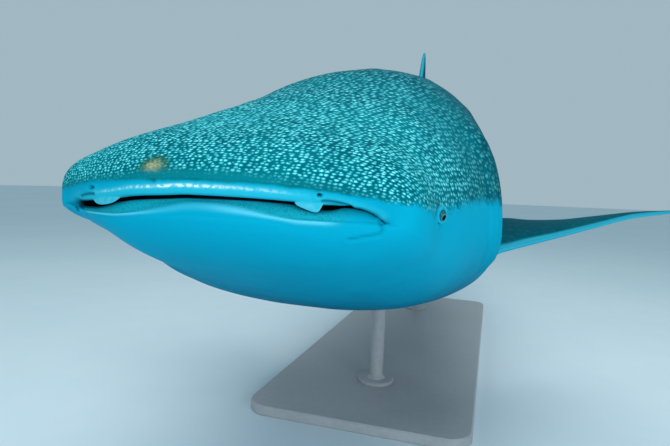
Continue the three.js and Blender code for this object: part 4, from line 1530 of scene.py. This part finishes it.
# %% [markdown]
# ## The studio
# The floor is pale and plain and reaches sixty metres each way, so its edge lies near the horizon. A
# built room would only draw the eye away from the animal.

# %% Floor
FLOOR_HALF = 60    # half of the floor's side, in metres


def floor_material():
    """Pale matt floor."""
    material, tree, shader = new_material("studio_floor_paint")
    pale_blue = tint(tree, mottled(tree, 0.4, 3.0), rgb(206, 224, 232), rgb(211, 228, 235))
    tree.links.new(pale_blue, shader.inputs["Base Color"])
    shader.inputs["Roughness"].default_value = 0.8
    return material


floor_mesh = bpy.data.meshes.new("studio_floor")
corners = [(x_sign * FLOOR_HALF, y_sign * FLOOR_HALF, 0)
           for x_sign, y_sign in ((-1, -1), (1, -1), (1, 1), (-1, 1))]
floor_mesh.from_pydata(corners, [], [(0, 1, 2, 3)])
floor = add_object("studio_floor", floor_mesh)
floor.data.materials.append(floor_material())
print("floor", 2 * FLOOR_HALF, "m across")

# %% [markdown]
# ## Light
# One very large soft light hangs above, like daylight through a skylight. Two weaker ones stand in
# front and to the side, so that the jaw and the cheek aren't lost in shade, and a pale sky fills
# the rest. A single hard lamp would draw sharp shadows that the photograph doesn't have.

# %% Lights and sky
def soft_light(name, place, target, size, power, colour):
    """A large square light that looks at a target."""
    data = bpy.data.lights.new(name, "AREA")
    data.shape = "SQUARE"
    data.size, data.energy, data.color = size, power, colour
    lamp = add_object(name, data)
    lamp.location = place
    lamp.rotation_euler = (Vector(target) - Vector(place)).to_track_quat("-Z", "Y").to_euler()


soft_light("skylight", (0.3, -2.0, 8.0), (0, -1.6, 1.3), 7.0, 330, (1.0, 1.0, 1.0))
soft_light("front_fill", (1.4, -9.0, 2.7), (0, -3.8, 1.1), 3.0, 130, (0.97, 0.99, 1.0))
soft_light("side_fill", (6.0, -7.5, 2.9), (0.4, -3.2, 1.2), 3.0, 135, (0.97, 0.99, 1.0))
world = bpy.data.worlds.new("studio_sky")
bpy.context.scene.world = world
world.use_nodes = True
sky = world.node_tree.nodes["Background"]
sky.inputs["Color"].default_value = rgb(198, 224, 236)
sky.inputs["Strength"].default_value = 0.64
print("three soft lights and a pale sky")

# %% [markdown]
# ## Ties to the solid model
# The skin stands for every solid of flesh, and each eye for its own solid. All of them ride on the
# one body of the model, because the shark is a still figure.

# %% Ride, replace and finish
FLESH = ["head", "lower_jaw", "gill_region", "trunk_front", "trunk_rear", "tail_stalk", "caudal_fin",
         "first_dorsal_fin", "second_dorsal_fin", "anal_fin", "pectoral_fin_left", "pectoral_fin_right",
         "pelvic_fin_left", "pelvic_fin_right", "nasal_flap_left", "nasal_flap_right"]
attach(skin, "root")
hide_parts(*FLESH)
for eye_name, eye in eyes.items():
    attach(eye, "root")
    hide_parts(f"eye_{eye_name}")
